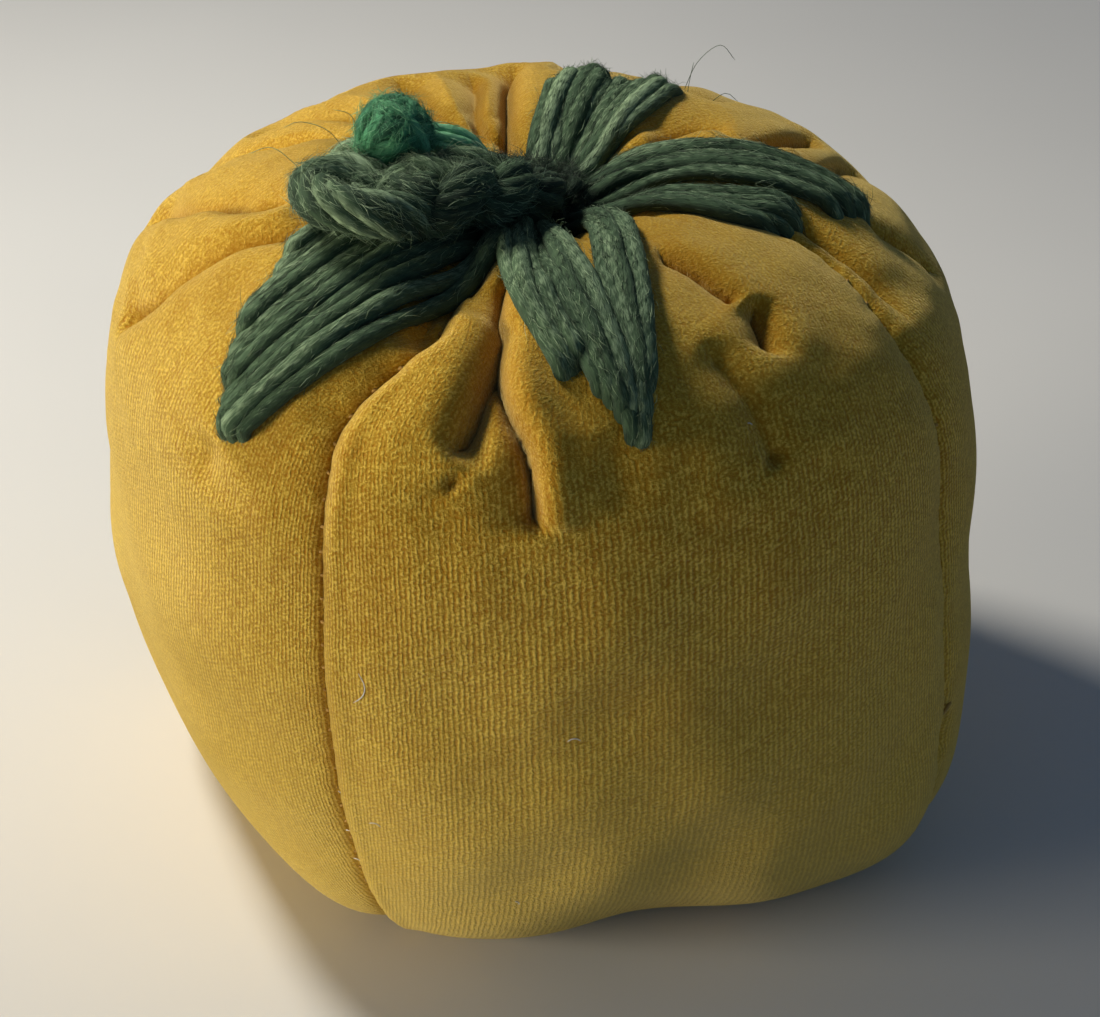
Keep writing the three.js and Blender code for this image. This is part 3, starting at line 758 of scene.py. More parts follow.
def hairs_along(path, frames, radius, fuzz, random):
    """Hairs that lie along a yarn, some of them loose, and which of the path's points each starts at."""
    along, side, up = frames
    count = int(distances_along(path)[-1] * fuzz.per_mm)
    roots = random.integers(0, len(path), count)
    theta = random.uniform(0.0, FULL_TURN, count)[:, None]
    out = side[roots] * np.cos(theta) + up[roots] * np.sin(theta)
    around = up[roots] * np.cos(theta) - side[roots] * np.sin(theta)
    direction = np.where(random.random((count, 1)) < 0.5, -1.0, 1.0)
    way = along[roots] * direction + around * random.normal(*HAIR["slant"], (count, 1))
    loose = random.random((count, 1)) < fuzz.loose
    outwards = np.where(loose, random.uniform(*LOOSE_HAIR["outwards"], (count, 1)), CLOSE_HAIR["outwards"])
    way = unit(way + out * outwards)
    loose_bow, close_bow = (random.uniform(*kind["bow"], (count, 1)) for kind in (LOOSE_HAIR, CLOSE_HAIR))
    bow = np.where(loose, loose_bow, close_bow)
    lengths = random.uniform(0.4, 1.0, count) * fuzz.length
    radii = random.uniform(HAIR["thin"], HAIR["thick"], count)
    starts = path[roots] + out * radius * random.uniform(0.85, 1.02, (count, 1))
    return roots, Hairs(starts, way, out, bow**2, lengths, radii)


def add_hairs(shape, hairs, tones, random):
    """Thin closed hairs that leave their starts along their ways, curl aside and bow outwards."""
    count = len(tones)
    t = np.linspace(0.0, 1.0, len(HAIR_TAPER))[:, None]
    across = unit(np.cross(hairs.ways, hairs.outs))[:, None]
    ways, lengths = hairs.ways[:, None], hairs.lengths[:, None, None]
    wander = random.normal(size=(count, 1, 1)) * HAIR["curl"]
    rise = random.uniform(0.2, 1.0, size=(count, 1, 1))
    line = hairs.starts[:, None] + lengths * (ways * t + across * wander * (t**2 - 0.4 * t))
    line = line + (hairs.outs * hairs.bows)[:, None] * rise * np.sin(t * np.pi * 0.8)
    widths = hairs.radii[:, None, None] * HAIR_TAPER[:, None]
    second = unit(np.cross(ways, across))
    turns = FULL_TURN * np.arange(HAIR_SIDES) / HAIR_SIDES
    corners = [line + widths * (across * math.cos(turn) + second * math.sin(turn)) for turn in turns]
    each = len(HAIR_TAPER) * HAIR_SIDES
    offsets = (np.arange(count) * each)[:, None, None]
    sides = (ring_quads(len(HAIR_TAPER), HAIR_SIDES) + offsets).reshape(-1, 4)
    ends = (np.array([[0, 2, 1], [each - 3, each - 2, each - 1]]) + offsets).reshape(-1, 3)
    # painted glints: a share of the hairs are painted much lighter
    painted_glints = np.where(random.random(count) < HAIR["painted_glints"], random.uniform(0.25, 0.55, count), 0.0)
    tones = tones + 0.2 * random.normal(size=count) + painted_glints
    shape.add(np.stack(corners, 2).reshape(-1, 3), sides, ends, tone=np.repeat(tones, each), slot=1)


def fuzzy_yarn(shape, line, radius, random, tone, fuzz, **form):
    """A yarn with the hairs that stand off it."""
    path, frames, tones = yarn(shape, line, radius, random, tone, **form)
    roots, hairs = hairs_along(path, frames, radius, fuzz, random)
    # painted highlight: hairs are lighter than their yarn
    add_hairs(shape, hairs, tones[roots] + fuzz.lighter, random)


# Long hairs that stand off a leaf or the stem: their tone, and each one's points (x, y, z).
LONG_HAIR_REACH = 0.032
LONG_HAIRS = {
    "leaf_back_right": (0.5, [
        [(21.8, 16.9, 73.0), (23.4, 17.0, 76.2), (25.9, 17.0, 77.8), (27.7, 17.1, 75.8)],
        [(21.8, 15.9, 72.5), (22.2, 16.1, 74.7), (22.6, 16.1, 76.7)],
        [(23.0, 14.2, 72.0), (25.4, 14.0, 73.6), (26.8, 13.6, 72.6)],
    ]),
    "stem_strand_1": (0.7, [
        [(-20.7, -5.9, 82.1), (-22.6, -5.2, 84.9), (-25.0, -4.1, 85.7), (-26.6, -4.0, 85.3)],
        [(-19.2, -4.6, 83.5), (-20.1, -4.0, 85.7), (-21.8, -4.1, 86.5)],
        [(-25.6, -7.4, 82.0), (-28.0, -5.4, 84.0), (-30.2, -4.2, 83.2)],
    ]),
}


def add_long_hairs(shape, node, random):
    tone, lines = LONG_HAIRS.get(node, (0.0, []))
    for line in lines:
        yarn(shape, line, LONG_HAIR_REACH, random, tone)


# ---- Calyx: each leaf is one length of wool laid in long stitches side by side ----
# The three guides run out from the gathers over the plan, along one edge, the middle and the other edge.
Leaf = namedtuple("Leaf", "node first middle last strands radius")
LEAVES = [
    Leaf("leaf_front_left",
         [(-3.0, 0.5), (-10.0, -1.0), (-17.0, -3.6), (-24.0, -6.6)],
         [(-2.5, -2.5), (-13.0, -9.0), (-25.0, -14.4), (-36.8, -17.6)],
         [(-1.5, -5.0), (-10.5, -20.0), (-24.0, -25.0), (-40.2, -24.6)], 13, 0.94),
    Leaf("leaf_front",
         [(-2.0, -3.5), (-7.4, -13.0), (-9.8, -25.0), (-8.6, -33.6)],
         [(-1.0, -3.8), (-3.8, -14.0), (-5.6, -27.0), (-4.4, -38.5)],
         [(0.0, -4.0), (-2.0, -14.0), (-2.0, -28.0), (-2.6, -42.4)], 8, 0.88),
    Leaf("leaf_front_fork",
         [(1.2, -4.0), (3.2, -13.0), (-0.6, -25.0), (-2.2, -42.2)],
         [(2.0, -4.0), (4.2, -13.0), (1.8, -25.0), (-1.6, -40.6)],
         [(2.8, -3.8), (5.4, -13.0), (4.0, -25.0), (-0.2, -37.0)], 5, 0.85),
    Leaf("leaf_right",
         [(3.0, 1.5), (12.0, 2.6), (21.5, -3.0), (33.4, -14.4)],
         [(3.5, 0.0), (13.5, -2.4), (23.0, -7.6), (31.6, -14.8)],
         [(3.5, -1.5), (13.5, -6.2), (20.5, -10.8), (27.4, -15.0)], 8, 0.88),
    Leaf("leaf_right_fork",
         [(3.4, -2.5), (11.5, -8.2), (17.6, -12.0), (24.2, -14.8)],
         [(3.2, -3.2), (11.5, -10.6), (17.4, -14.6), (23.6, -16.8)],
         [(3.0, -4.0), (9.8, -12.6), (15.2, -16.8), (21.8, -18.6)], 5, 0.88),
    Leaf("leaf_back_right",
         [(0.5, 3.5), (3.2, 9.6), (6.6, 15.6), (9.8, 21.2)],
         [(2.0, 2.8), (8.2, 9.2), (13.4, 15.4), (17.8, 21.4)],
         [(3.4, 1.8), (12.2, 5.4), (18.0, 9.2), (24.0, 14.6)], 13, 0.9),
    Leaf("leaf_back_left",
         [(-0.5, 3.5), (-3.2, 8.0), (-7.0, 12.0), (-11.0, 15.4)],
         [(-2.0, 3.0), (-6.8, 7.6), (-11.6, 10.6), (-16.8, 13.4)],
         [(-3.0, 1.5), (-9.8, 4.4), (-15.0, 6.8), (-20.0, 9.2)], 9, 0.9),
]
LEAF_JITTER = {"tip": 0.9, "middle": 0.25}
LEAF_STEP = 0.6
LEAF_BRIDGES = (6, 3)  # a strand bridges the hollows of the cloth that are this many steps long
LEAF_LAYERS = 3
LEAF_LIFT = {"lowest": 0.75, "layer": 0.9, "crowded": 0.25, "crowded_share": 0.5}
LEAF_DIVE = {"tip_depth": 1.2, "tip_over": 2.0, "root_depth": 1.6, "root_over": 3.0}  # through the cloth
LEAF_FUZZ = Fuzz(29.0, 0.1, 0.07, 2.0)
LEAF_TONES = (0.36, 0.6)
# painted shade: strands are darker near the gathers, over this share of their length
PAINTED_LEAF_ROOT_SHADE = {"shade": 0.3, "share": 0.3}
LEAF_FORM = {"flat": 1.08, "plies": 0.018}


def lay_on_cloth(plan):
    """The plain form's points and outward directions at places on the plan, and the cloth's height there."""
    angle, arc = place_of(plan)
    unbent = 2.0 * angle - bend_seams(angle, arc)
    point, out, _ = body_frame(angle, np.maximum(arc, 0.5))
    return point, out, cloth_relief(unbent, arc)[0]


def running_mean(values, reach):
    padded = np.pad(values, reach, mode="edge")
    return np.convolve(padded, np.ones(2 * reach + 1) / (2 * reach + 1), mode="valid")


def leaf_strand_plan(leaf, share, random):
    """The route of one strand over the plan, between the leaf's three guides."""
    weights = ((1.0 - share) * (1.0 - 2.0 * share), 4.0 * share * (1.0 - share), share * (2.0 * share - 1.0))
    guides = [np.array(guide) for guide in (leaf.first, leaf.middle, leaf.last)]
    knots = sum(weight * guide for weight, guide in zip(weights, guides))
    knots[-1] += unit(knots[-1] - knots[-2]) * random.normal(0.0, LEAF_JITTER["tip"])
    knots[1:-1] += random.normal(0.0, LEAF_JITTER["middle"], (2, 2))
    return curve_through(knots, LEAF_STEP)


def leaf_strand(leaf, share, layer, random):
    """The middle line of one strand of a leaf, resting on the cloth and on the strands under it."""
    plan = leaf_strand_plan(leaf, share, random)
    point, out, height = lay_on_cloth(plan)
    walked = distances_along(plan)
    rest = np.max([running_mean(height, reach) for reach in LEAF_BRIDGES], axis=0)
    crowd = 1.0 - ease(walked / (LEAF_LIFT["crowded_share"] * walked[-1]))
    piled = layer * mix(LEAF_LIFT["crowded"], LEAF_LIFT["layer"], crowd)
    at_tip = 1.0 - ease((walked[-1] - walked) / LEAF_DIVE["tip_over"])
    at_root = 1.0 - ease(walked / LEAF_DIVE["root_over"])
    lift = rest + leaf.radius * (LEAF_LIFT["lowest"] + piled)
    lift -= (leaf.radius + LEAF_DIVE["tip_depth"]) * at_tip + LEAF_DIVE["root_depth"] * at_root
    line = point + out * lift[:, None]
    return np.vstack([line[:-1:2], line[-1:]])


def wool_leaf(leaf, number):
    random = np.random.default_rng(200 + number)
    shape = Shape()
    for k in range(leaf.strands):
        line = leaf_strand(leaf, (k + 0.5) / leaf.strands, k % LEAF_LAYERS, random)
        tone = random.uniform(*LEAF_TONES)
        radius = leaf.radius * random.uniform(0.92, 1.08)
        # painted shade towards the root of each strand
        tones = tone - PAINTED_LEAF_ROOT_SHADE["shade"] * (1.0 - ease(np.linspace(0.0, 1.0, 9) / PAINTED_LEAF_ROOT_SHADE["share"]))
        fuzzy_yarn(shape, line, radius, random, tones, LEAF_FUZZ, **LEAF_FORM)
    add_long_hairs(shape, leaf.node, random)
    make_piece(shape, leaf.node + "_wool", [wool, wool_hair], leaf.node)


# ---- Crown: the tangle of wool over the gathers ----
CROWN = {"loops": 16, "points": 12, "height": 69.6, "rise": 4.4, "bowl": 0.22}
CROWN_SPREAD = {"middle": 1.6, "least": 0.8, "reach": 5.6, "uneven": 0.5, "ups": 0.6}
# the crown's dark tone is partly darker wool and partly painted shade of the dimple
CROWN_YARN = {"radius": 0.72, "tone": 0.06}
CROWN_FUZZ = Fuzz(34.0, 0.04, 0.5, 3.0)


def crown_wool():
    random = np.random.default_rng(31)
    shape = Shape()
    count = CROWN["points"]
    for _ in range(CROWN["loops"]):
        turn = np.linspace(0.0, FULL_TURN * random.uniform(0.5, 1.1), count) + random.uniform(0.0, 6.3)
        middle = random.normal(0.0, CROWN_SPREAD["middle"], 2)
        reach = random.uniform(CROWN_SPREAD["least"], CROWN_SPREAD["reach"] - np.linalg.norm(middle))
        reach = reach + random.normal(0.0, CROWN_SPREAD["uneven"], count)
        rise = CROWN["rise"] * random.uniform(0.0, 1.0) + random.normal(0.0, CROWN_SPREAD["ups"], count)
        height = CROWN["height"] + rise + CROWN["bowl"] * np.abs(reach)
        line = np.stack([middle[0] + reach * np.cos(turn), middle[1] + reach * np.sin(turn), height], -1)
        fuzzy_yarn(shape, line, CROWN_YARN["radius"], random, CROWN_YARN["tone"], CROWN_FUZZ)
    make_piece(shape, "crown_wool", [wool, wool_hair], "crown_knot")


# ---- Stem: a short thick plait of wool that lies over to one side, with a bobble on it ----
# The stem's middle line, as points (x, y, z): it climbs out of the gathers and lies level.
STEM_LINE = [(-1.0, -2.0, 71.5), (-5.0, -6.6, 76.6), (-10.5, -10.4, 79.6), (-17.4, -12.0, 80.0),
             (-22.8, -10.0, 80.2), (-28.0, -6.6, 80.2), (-32.0, -3.4, 80.0)]
PLAIT = {"start": 1.0, "end": 21.0, "points": 14, "pitch": 17.0, "aside": 2.8, "above": 1.0, "turn": 0.15}
PLAIT_OPENING = {"from": -2.0, "over": 7.0}
# The plait's end, as (along, aside, above): one strand turns back in a loop and the others end under it.
STRAND_ENDS = {
    "stem_strand_1": [
        (24.6, 3.8, 0.6), (28.8, 3.4, 0.9), (31.0, 0.2, 0.9), (28.8, -3.4, 0.7), (24.4, -3.4, 0.3),
    ],
    "stem_strand_2": [(24.6, 1.6, -0.7), (28.0, 1.2, -0.6)],
    "stem_strand_3": [(24.6, -1.8, -0.5), (27.8, -0.8, 0.8)],
}
ROPE = {"yarns": 7, "reach": 1.5, "radius": 0.85, "pitch": 15.0, "closed": 0.45, "closing": 2.5}
# painted shade: the stem's tone is dark at the root, in the dimple, and lighter towards its end
STEM_TONES_WITH_ROOT_SHADE = np.array([0.02, 0.05, 0.14, 0.34, 0.46, 0.52, 0.56, 0.6, 0.68, 0.76])  # from root to end
STEM_FUZZ = Fuzz(28.0, 0.12, 0.3)
# the root yarns' dark tone is painted shade in the dimple
ROOT = {"yarns": 7, "radius": 0.8, "tone": 0.05, "reach": 1.6, "foot": 71.0, "head": 7.0, "head_reach": 2.2}
ROOT_BEND = (0.6, 0.0, 0.8)
ROOT_FUZZ = Fuzz(28.0, 0.07, 0.45, 3.0)

stem_middle = curve_through(STEM_LINE, 0.5)
stem_walk = distances_along(stem_middle)


def stem_place(along, aside, above):
    """Places on the stem: along it from the root, aside towards the front, and above its middle line."""
    along, aside, above = (np.asarray(value, float) for value in (along, aside, above))
    middle = np.stack([np.interp(along, stem_walk, stem_middle[:, k]) for k in range(3)], -1)
    ahead = np.stack([np.interp(along + 0.5, stem_walk, stem_middle[:, k]) for k in range(3)], -1)
    way = unit(ahead - middle)
    front = unit(np.cross(way, (0.0, 0.0, -1.0)))
    return middle + front * aside[..., None] + unit(np.cross(way, front)) * above[..., None]


def plait_line(node, number):
    """The middle line of one strand of the plait."""
    along = np.linspace(PLAIT["start"], PLAIT["end"], PLAIT["points"])
    turn = FULL_TURN * (along / PLAIT["pitch"] + number / 3.0 + PLAIT["turn"])
    opening = ease((along - PLAIT_OPENING["from"]) / PLAIT_OPENING["over"])
    aside = PLAIT["aside"] * np.sin(turn) * opening
    above = PLAIT["above"] * np.sin(2.0 * turn) * opening
    return stem_place(*np.vstack([np.stack([along, aside, above], -1), STRAND_ENDS[node]]).T)


def rope(shape, line, random):
    """Several yarns wound round one another along a line."""
    path = curve_through(line, 1.0)
    _, side, up = path_frames(path)
    walked = distances_along(path)
    closing = mix(ROPE["closed"], 1.0, ease(np.minimum(walked, walked[-1] - walked) / ROPE["closing"]))
    for k in range(ROPE["yarns"]):
        turn = FULL_TURN * (walked / ROPE["pitch"] + k / ROPE["yarns"]) + random.normal(0.0, 0.15)
        reach = ROPE["reach"] * closing * random.uniform(0.9, 1.1)
        wound = path + side * (reach * np.cos(turn))[:, None] + up * (reach * np.sin(turn))[:, None]
        # painted shade darkens the root end of each yarn
        tones = STEM_TONES_WITH_ROOT_SHADE + random.normal(0.0, 0.06)
        fuzzy_yarn(shape, wound, ROPE["radius"], random, tones, STEM_FUZZ)


def wool_stem():
    for number, node in enumerate(STRAND_ENDS):
        random = np.random.default_rng(51 + number)
        shape = Shape()
        rope(shape, plait_line(node, number), random)
        add_long_hairs(shape, node, random)
        make_piece(shape, node + "_wool", [wool, wool_hair], node, "stem")


def stem_root_wool():
    """The yarns that come up out of the gathers and become the stem."""
    random = np.random.default_rng(61)
    shape = Shape()
    for k in range(ROOT["yarns"]):
        turn = FULL_TURN * k / ROOT["yarns"]
        c, s = math.cos(turn), math.sin(turn)
        start = np.array((ROOT["reach"] * c, ROOT["reach"] * s, ROOT["foot"]))
        end = stem_place(ROOT["head"], ROOT["head_reach"] * c, ROOT["reach"] * s)
        middle = mix(start, end, 0.5) + random.normal(0.0, 0.3, 3) + ROOT_BEND
        fuzzy_yarn(shape, [start, middle, end], ROOT["radius"], random, ROOT["tone"], ROOT_FUZZ)
    make_piece(shape, "stem_root_wool", [wool, wool_hair], "stem_root", "stem")


BOBBLE = {"middle": (-16.0, -4.4, 83.1), "reach": 3.1, "radius": 0.8, "turns": 15, "points": 22, "lap": 1.02}
BOBBLE_FUZZ = Fuzz(26.0, 0.1, 0.25)
BOBBLE_TAIL = [(-12.8, -2.4, 81.6), (-9.0, -2.6, 80.4), (-5.4, -2.4, 77.6), (-2.4, -1.4, 73.6)]
TAIL = {"yarns": 3, "radius": 0.7, "tone": 0.75, "jitter": 0.55}
TAIL_FUZZ = Fuzz(14.0, 0.1, 0.35)


def bobble_wool():
    """A ball of wound emerald wool, and the tail that ties it to the stem's root."""
    random = np.random.default_rng(71)
    shape = Shape()
    turn = np.linspace(0.0, FULL_TURN * BOBBLE["lap"], BOBBLE["points"])[:, None]
    for _ in range(BOBBLE["turns"]):
        axis = unit(random.normal(size=3))
        first = unit(np.cross(axis, random.normal(size=3)))
        second = np.cross(axis, first)
        offset = axis * random.normal(0.0, 0.5)
        reach = BOBBLE["reach"] * random.uniform(0.88, 1.05)
        line = BOBBLE["middle"] + offset + reach * (first * np.cos(turn) + second * np.sin(turn))
        fuzzy_yarn(shape, line, BOBBLE["radius"], random, random.uniform(0.3, 0.7), BOBBLE_FUZZ)
    for _ in range(TAIL["yarns"]):
        line = BOBBLE_TAIL + random.normal(0.0, TAIL["jitter"], (4, 3))
        fuzzy_yarn(shape, line, TAIL["radius"], random, TAIL["tone"], TAIL_FUZZ)
    make_piece(shape, "bobble_wool", [emerald, emerald_hair], "stem_bobble", "stem")


# ---- Threads and lint ----
THREAD = 0.17
SEAM_STITCH = {"half_width": 0.3, "raised": 0.0, "jitter": 0.12}
CLOSING_STITCH = {"step": 1.5, "half_width": 1.5, "raised": 0.6}
# The points of a stitch, as (share of its half width, height, share of its lean).
STITCH = [(-1.0, -0.4, 0.0), (-0.6, 0.1, 0.0), (0.6, 0.1, 1.0), (1.0, -0.4, 1.0)]
BASE_STITCH = [(-1.2, 0.6), (-0.5, 0.28), (0.5, 0.28), (1.2, 0.6)]  # as (outwards, up)
GATHERING = {"inside": 0.6, "below": 0.4, "radius": 0.4, "waves": 9, "aside": 0.25, "up": 0.3}


def seam_stitches(shape, corner, arcs, half_width, raised, random):
    """Stitches across the groove of a corner seam, one at each arc."""
    angles = np.full(len(arcs), SEAM_ANGLES[corner])
    bottoms, outs, _ = cloth_points(angles, arcs)
    arounds = body_frame(bend_seams(angles, arcs), arcs)[2]
    for bottom, out, around in zip(bottoms, outs, arounds):
        lean = random.normal(0.0, SEAM_STITCH["jitter"], 3)
        line = [
            bottom + around * half_width * across + out * (raised + height) + lean * leaning
            for across, height, leaning in STITCH
        ]
        yarn(shape, line, THREAD, random)


def thread_piece(shape, name, node):
    make_piece(shape, name, [sewing_thread], node)


def corner_stitches():
    for corner in SEAM_ANGLES:
        random = np.random.default_rng(81)
        shape = Shape()
        arcs = np.arange(10.0, BASE_ARC - 3.0, STITCH_STEP)
        seam_stitches(shape, corner, arcs, SEAM_STITCH["half_width"], SEAM_STITCH["raised"], random)
        thread_piece(shape, corner + "_stitches", "seam_thread_" + corner)


def closing_stitches():
    random = np.random.default_rng(82)
    shape = Shape()
    arcs = np.arange(CLOSING["from"], CLOSING["to"], CLOSING_STITCH["step"])
    half_width, raised = CLOSING_STITCH["half_width"], CLOSING_STITCH["raised"]
    seam_stitches(shape, CLOSING["corner"], arcs, half_width, raised, random)
    thread_piece(shape, "closing_stitches", "closing_thread")


def base_stitches():
    random = np.random.default_rng(83)
    shape = Shape()
    for angle in np.arange(0.0, 360.0, 6.0):
        point = plain_body(angle, -1.0)
        out = np.array([math.cos(math.radians(angle)), math.sin(math.radians(angle)), 0.0])
        line = [point + out * across + (0.0, 0.0, up) for across, up in BASE_STITCH]
        yarn(shape, line, THREAD, random)
    thread_piece(shape, "base_stitches", "base_seam_thread")


def gathering_ring():
    random = np.random.default_rng(84)
    shape = Shape()
    turn = np.linspace(0.0, FULL_TURN, 50)
    reach = GATHER_ARC - GATHERING["inside"] + GATHERING["aside"] * np.sin(GATHERING["waves"] * turn)
    height = profile(level_of(GATHER_ARC))[1] - GATHERING["below"]
    height = height + GATHERING["up"] * np.cos(GATHERING["waves"] * turn)
    line = np.stack([reach * np.cos(turn), reach * np.sin(turn), height], -1)
    yarn(shape, line, GATHERING["radius"], random)
    thread_piece(shape, "gathering_ring", "gathering_thread")


# White lint caught in the nap: its angle, arc, length, lean in degrees and curl.
Lint = namedtuple("Lint", "angle arc length lean curl")
LINT = [
    Lint(-134.3, 83.0, 1.1, 70.0, 0.3),
    Lint(-134.7, 89.3, 0.9, 20.0, 0.2),
    Lint(-134.0, 93.3, 1.3, 40.0, 0.4),
    Lint(-129.3, 85.0, 1.2, 10.0, 0.3),
    Lint(-129.7, 67.3, 3.6, 100.0, 0.9),
    Lint(-103.7, 73.0, 1.3, 5.0, 0.3),
    Lint(-77.0, 43.0, 0.5, 30.0, 0.1),
    Lint(-112.0, 97.0, 0.8, 60.0, 0.2),
    Lint(30.0, 60.0, 1.4, 30.0, 0.4),
    Lint(110.0, 75.0, 1.2, 80.0, 0.3),
]
LINT_REACH = 0.045
LINT_LIFT = 0.1


def lint_hairs():
    random = np.random.default_rng(91)
    shape = Shape()
    t = np.linspace(-0.5, 0.5, 5)[:, None]
    for lint in LINT:
        angle, arc = np.array([lint.angle]), np.array([lint.arc])
        (point,), (out,), _ = cloth_points(angle, arc)
        around = body_frame(angle, arc)[2][0]
        lean = math.radians(lint.lean)
        way = around * math.cos(lean) + np.cross(around, out) * math.sin(lean)
        bow = np.cross(out, way) * lint.curl * (1.0 - 4.0 * t**2)
        yarn(shape, point + out * LINT_LIFT + way * lint.length * t + bow, LINT_REACH, random)
    make_piece(shape, "lint_hairs", [lint_fibre], None)


# ---- Materials ----
class Surface:
    """A new material, with short names for the shader nodes that the materials share."""

    def __init__(self, name):
        self.material = bpy.data.materials.new(name)
        self.material.use_nodes = True
        self.tree = self.material.node_tree
        self.shader = self.tree.nodes["Principled BSDF"]

    def fill(self, node, inputs):
        """Links a node's inputs to sockets, or sets them to plain values."""
        for key, value in inputs.items():
            if isinstance(value, bpy.types.NodeSocket):
                self.tree.links.new(value, node.inputs[key])
            else:
                node.inputs[key].default_value = value

    def node(self, kind, inputs, **settings):
        node = self.tree.nodes.new("ShaderNode" + kind)
        for key, value in settings.items():
            setattr(node, key, value)
        self.fill(node, inputs)
        return node.outputs

    def attribute(self, name):
        return self.node("Attribute", {}, attribute_name=name)

    def solid(self):
        return self.node("TexCoord", {})["Object"]

    def plus(self, a, b):
        return self.node("Math", {0: a, 1: b}, operation="ADD")[0]

    def times(self, a, b):
        return self.node("Math", {0: a, 1: b}, operation="MULTIPLY")[0]

    def sine(self, turn):
        return self.node("Math", {0: turn}, operation="SINE")[0]

    def between(self, value, low, high):
        """Rises smoothly from 0 at the low value to 1 at the high one."""
        inputs = {"Value": value, "From Min": low, "From Max": high}
        return self.node("MapRange", inputs, interpolation_type="SMOOTHSTEP")[0]

    def noise(self, vector, scale, detail, roughness):
        inputs = {"Vector": vector, "Scale": scale, "Detail": detail, "Roughness": roughness}
        return self.node("TexNoise", inputs)["Fac"]

    def ramp(self, value, stops):
        color = self.node("ValToRGB", {"Fac": value})["Color"]
        elements = color.node.color_ramp.elements
        while len(elements) < len(stops):
            elements.new(0.5)
        for element, (position, stop) in zip(elements, stops):
            element.position = position
            element.color = (*stop, 1.0)
        return color

    def blend(self, share, color, other):
        inputs = {0: share, 6: color, 7: (*other, 1.0)}
        return self.node("Mix", inputs, data_type="RGBA", blend_type="MIX")[2]

    def finish(self, color, relief, strength, distance, **constants):
        """Gives the shader its colour, its bump and the values that are the same all over."""
        bump = self.node("Bump", {"Height": relief, "Strength": strength, "Distance": distance * MM})
        self.fill(self.shader, {"Base Color": color, "Normal": bump["Normal"]})
        self.fill(self.shader, {key.replace("_", " "): value for key, value in constants.items()})
        return self.material


RIB_PITCH = 0.64
COURSE_PITCH = 0.52
RIB_HEIGHTS = {"rib": 0.085, "course": 0.03, "least": 0.25}
NAP = {"per_m": 3.3 / MM, "share": 0.8}
TUFTS = {"per_m": 0.9 / MM, "share": 0.2}
PATCHES_PER_M = 0.09 / MM
RIB_ARCS = (34.0, 62.0)  # the ribs show more and more between these distances from the gathers
PAINTED_BOUNCE_ARCS = (48.0, 104.0)  # painted floor bounce: the cloth is painted paler more and more between these distances
GATHERED_ARCS = (58.0, 22.0)  # and its color is warmer towards the gathers
WORN_PATCHES = (0.5, 0.72)
# painted shade: between these tones the folds are painted deep orange, and brown between the next two
PAINTED_SHADE_TONES = (0.02, 0.75)
DEEP_PAINTED_SHADE_TONES = (0.6, 1.1)
GOLD_WARM = (0.60, 0.32, 0.020)
GOLD_PALE = (0.88, 0.62, 0.11)
GOLD = (0.50, 0.305, 0.030)
GOLD_DEEP = (0.40, 0.175, 0.010)
# painted shade at the bottom of the deepest folds
GOLD_PAINTED_SHADE = (0.13, 0.060, 0.007)
GOLD_SHEEN = (1.0, 0.83, 0.36, 1.0)
WOOL_SHEEN = (0.62, 0.9, 0.55, 1.0)
STREAKS = {"rates": (7.0, 0.9, 1.0), "share": 0.7}  # round the yarn, along it, and from yarn to yarn
WOOL_STOPS = [
    (0.0, (0.006, 0.014, 0.008)),
    (0.35, (0.015, 0.035, 0.019)),
    (0.65, (0.046, 0.090, 0.043)),
    (1.0, (0.34, 0.46, 0.28)),
]
EMERALD_STOPS = [
    (0.0, (0.006, 0.028, 0.018)),
    (0.4, (0.024, 0.135, 0.066)),
    (0.7, (0.070, 0.290, 0.140)),
    (1.0, (0.20, 0.50, 0.27)),
]


def knit_relief(surface, cloth, solid):
    """The cloth's surface, about 0 to 1: a granular nap, over ribs that show more down the sides."""
    split = surface.node("SeparateXYZ", {0: cloth})
    drift = surface.times(surface.noise(cloth, 0.5, 2.0, 0.5), 0.5)
    rib_turn = surface.times(surface.plus(split["X"], drift), FULL_TURN / RIB_PITCH)
    course_turn = surface.times(split["Y"], FULL_TURN / COURSE_PITCH)
    ribs = surface.times(surface.sine(rib_turn), RIB_HEIGHTS["rib"])
    slanted = surface.plus(course_turn, surface.times(rib_turn, 0.5))
    courses = surface.times(surface.sine(slanted), RIB_HEIGHTS["course"])
    least = RIB_HEIGHTS["least"]
    showing = surface.plus(surface.times(surface.between(split["Y"], *RIB_ARCS), 1.0 - least), least)
    nap = surface.times(surface.noise(solid, NAP["per_m"], 3.0, 0.72), NAP["share"])
    tufts = surface.times(surface.noise(solid, TUFTS["per_m"], 2.0, 0.6), TUFTS["share"])
    knit = surface.times(surface.plus(ribs, courses), showing)
    return surface.plus(surface.plus(nap, tufts), knit)


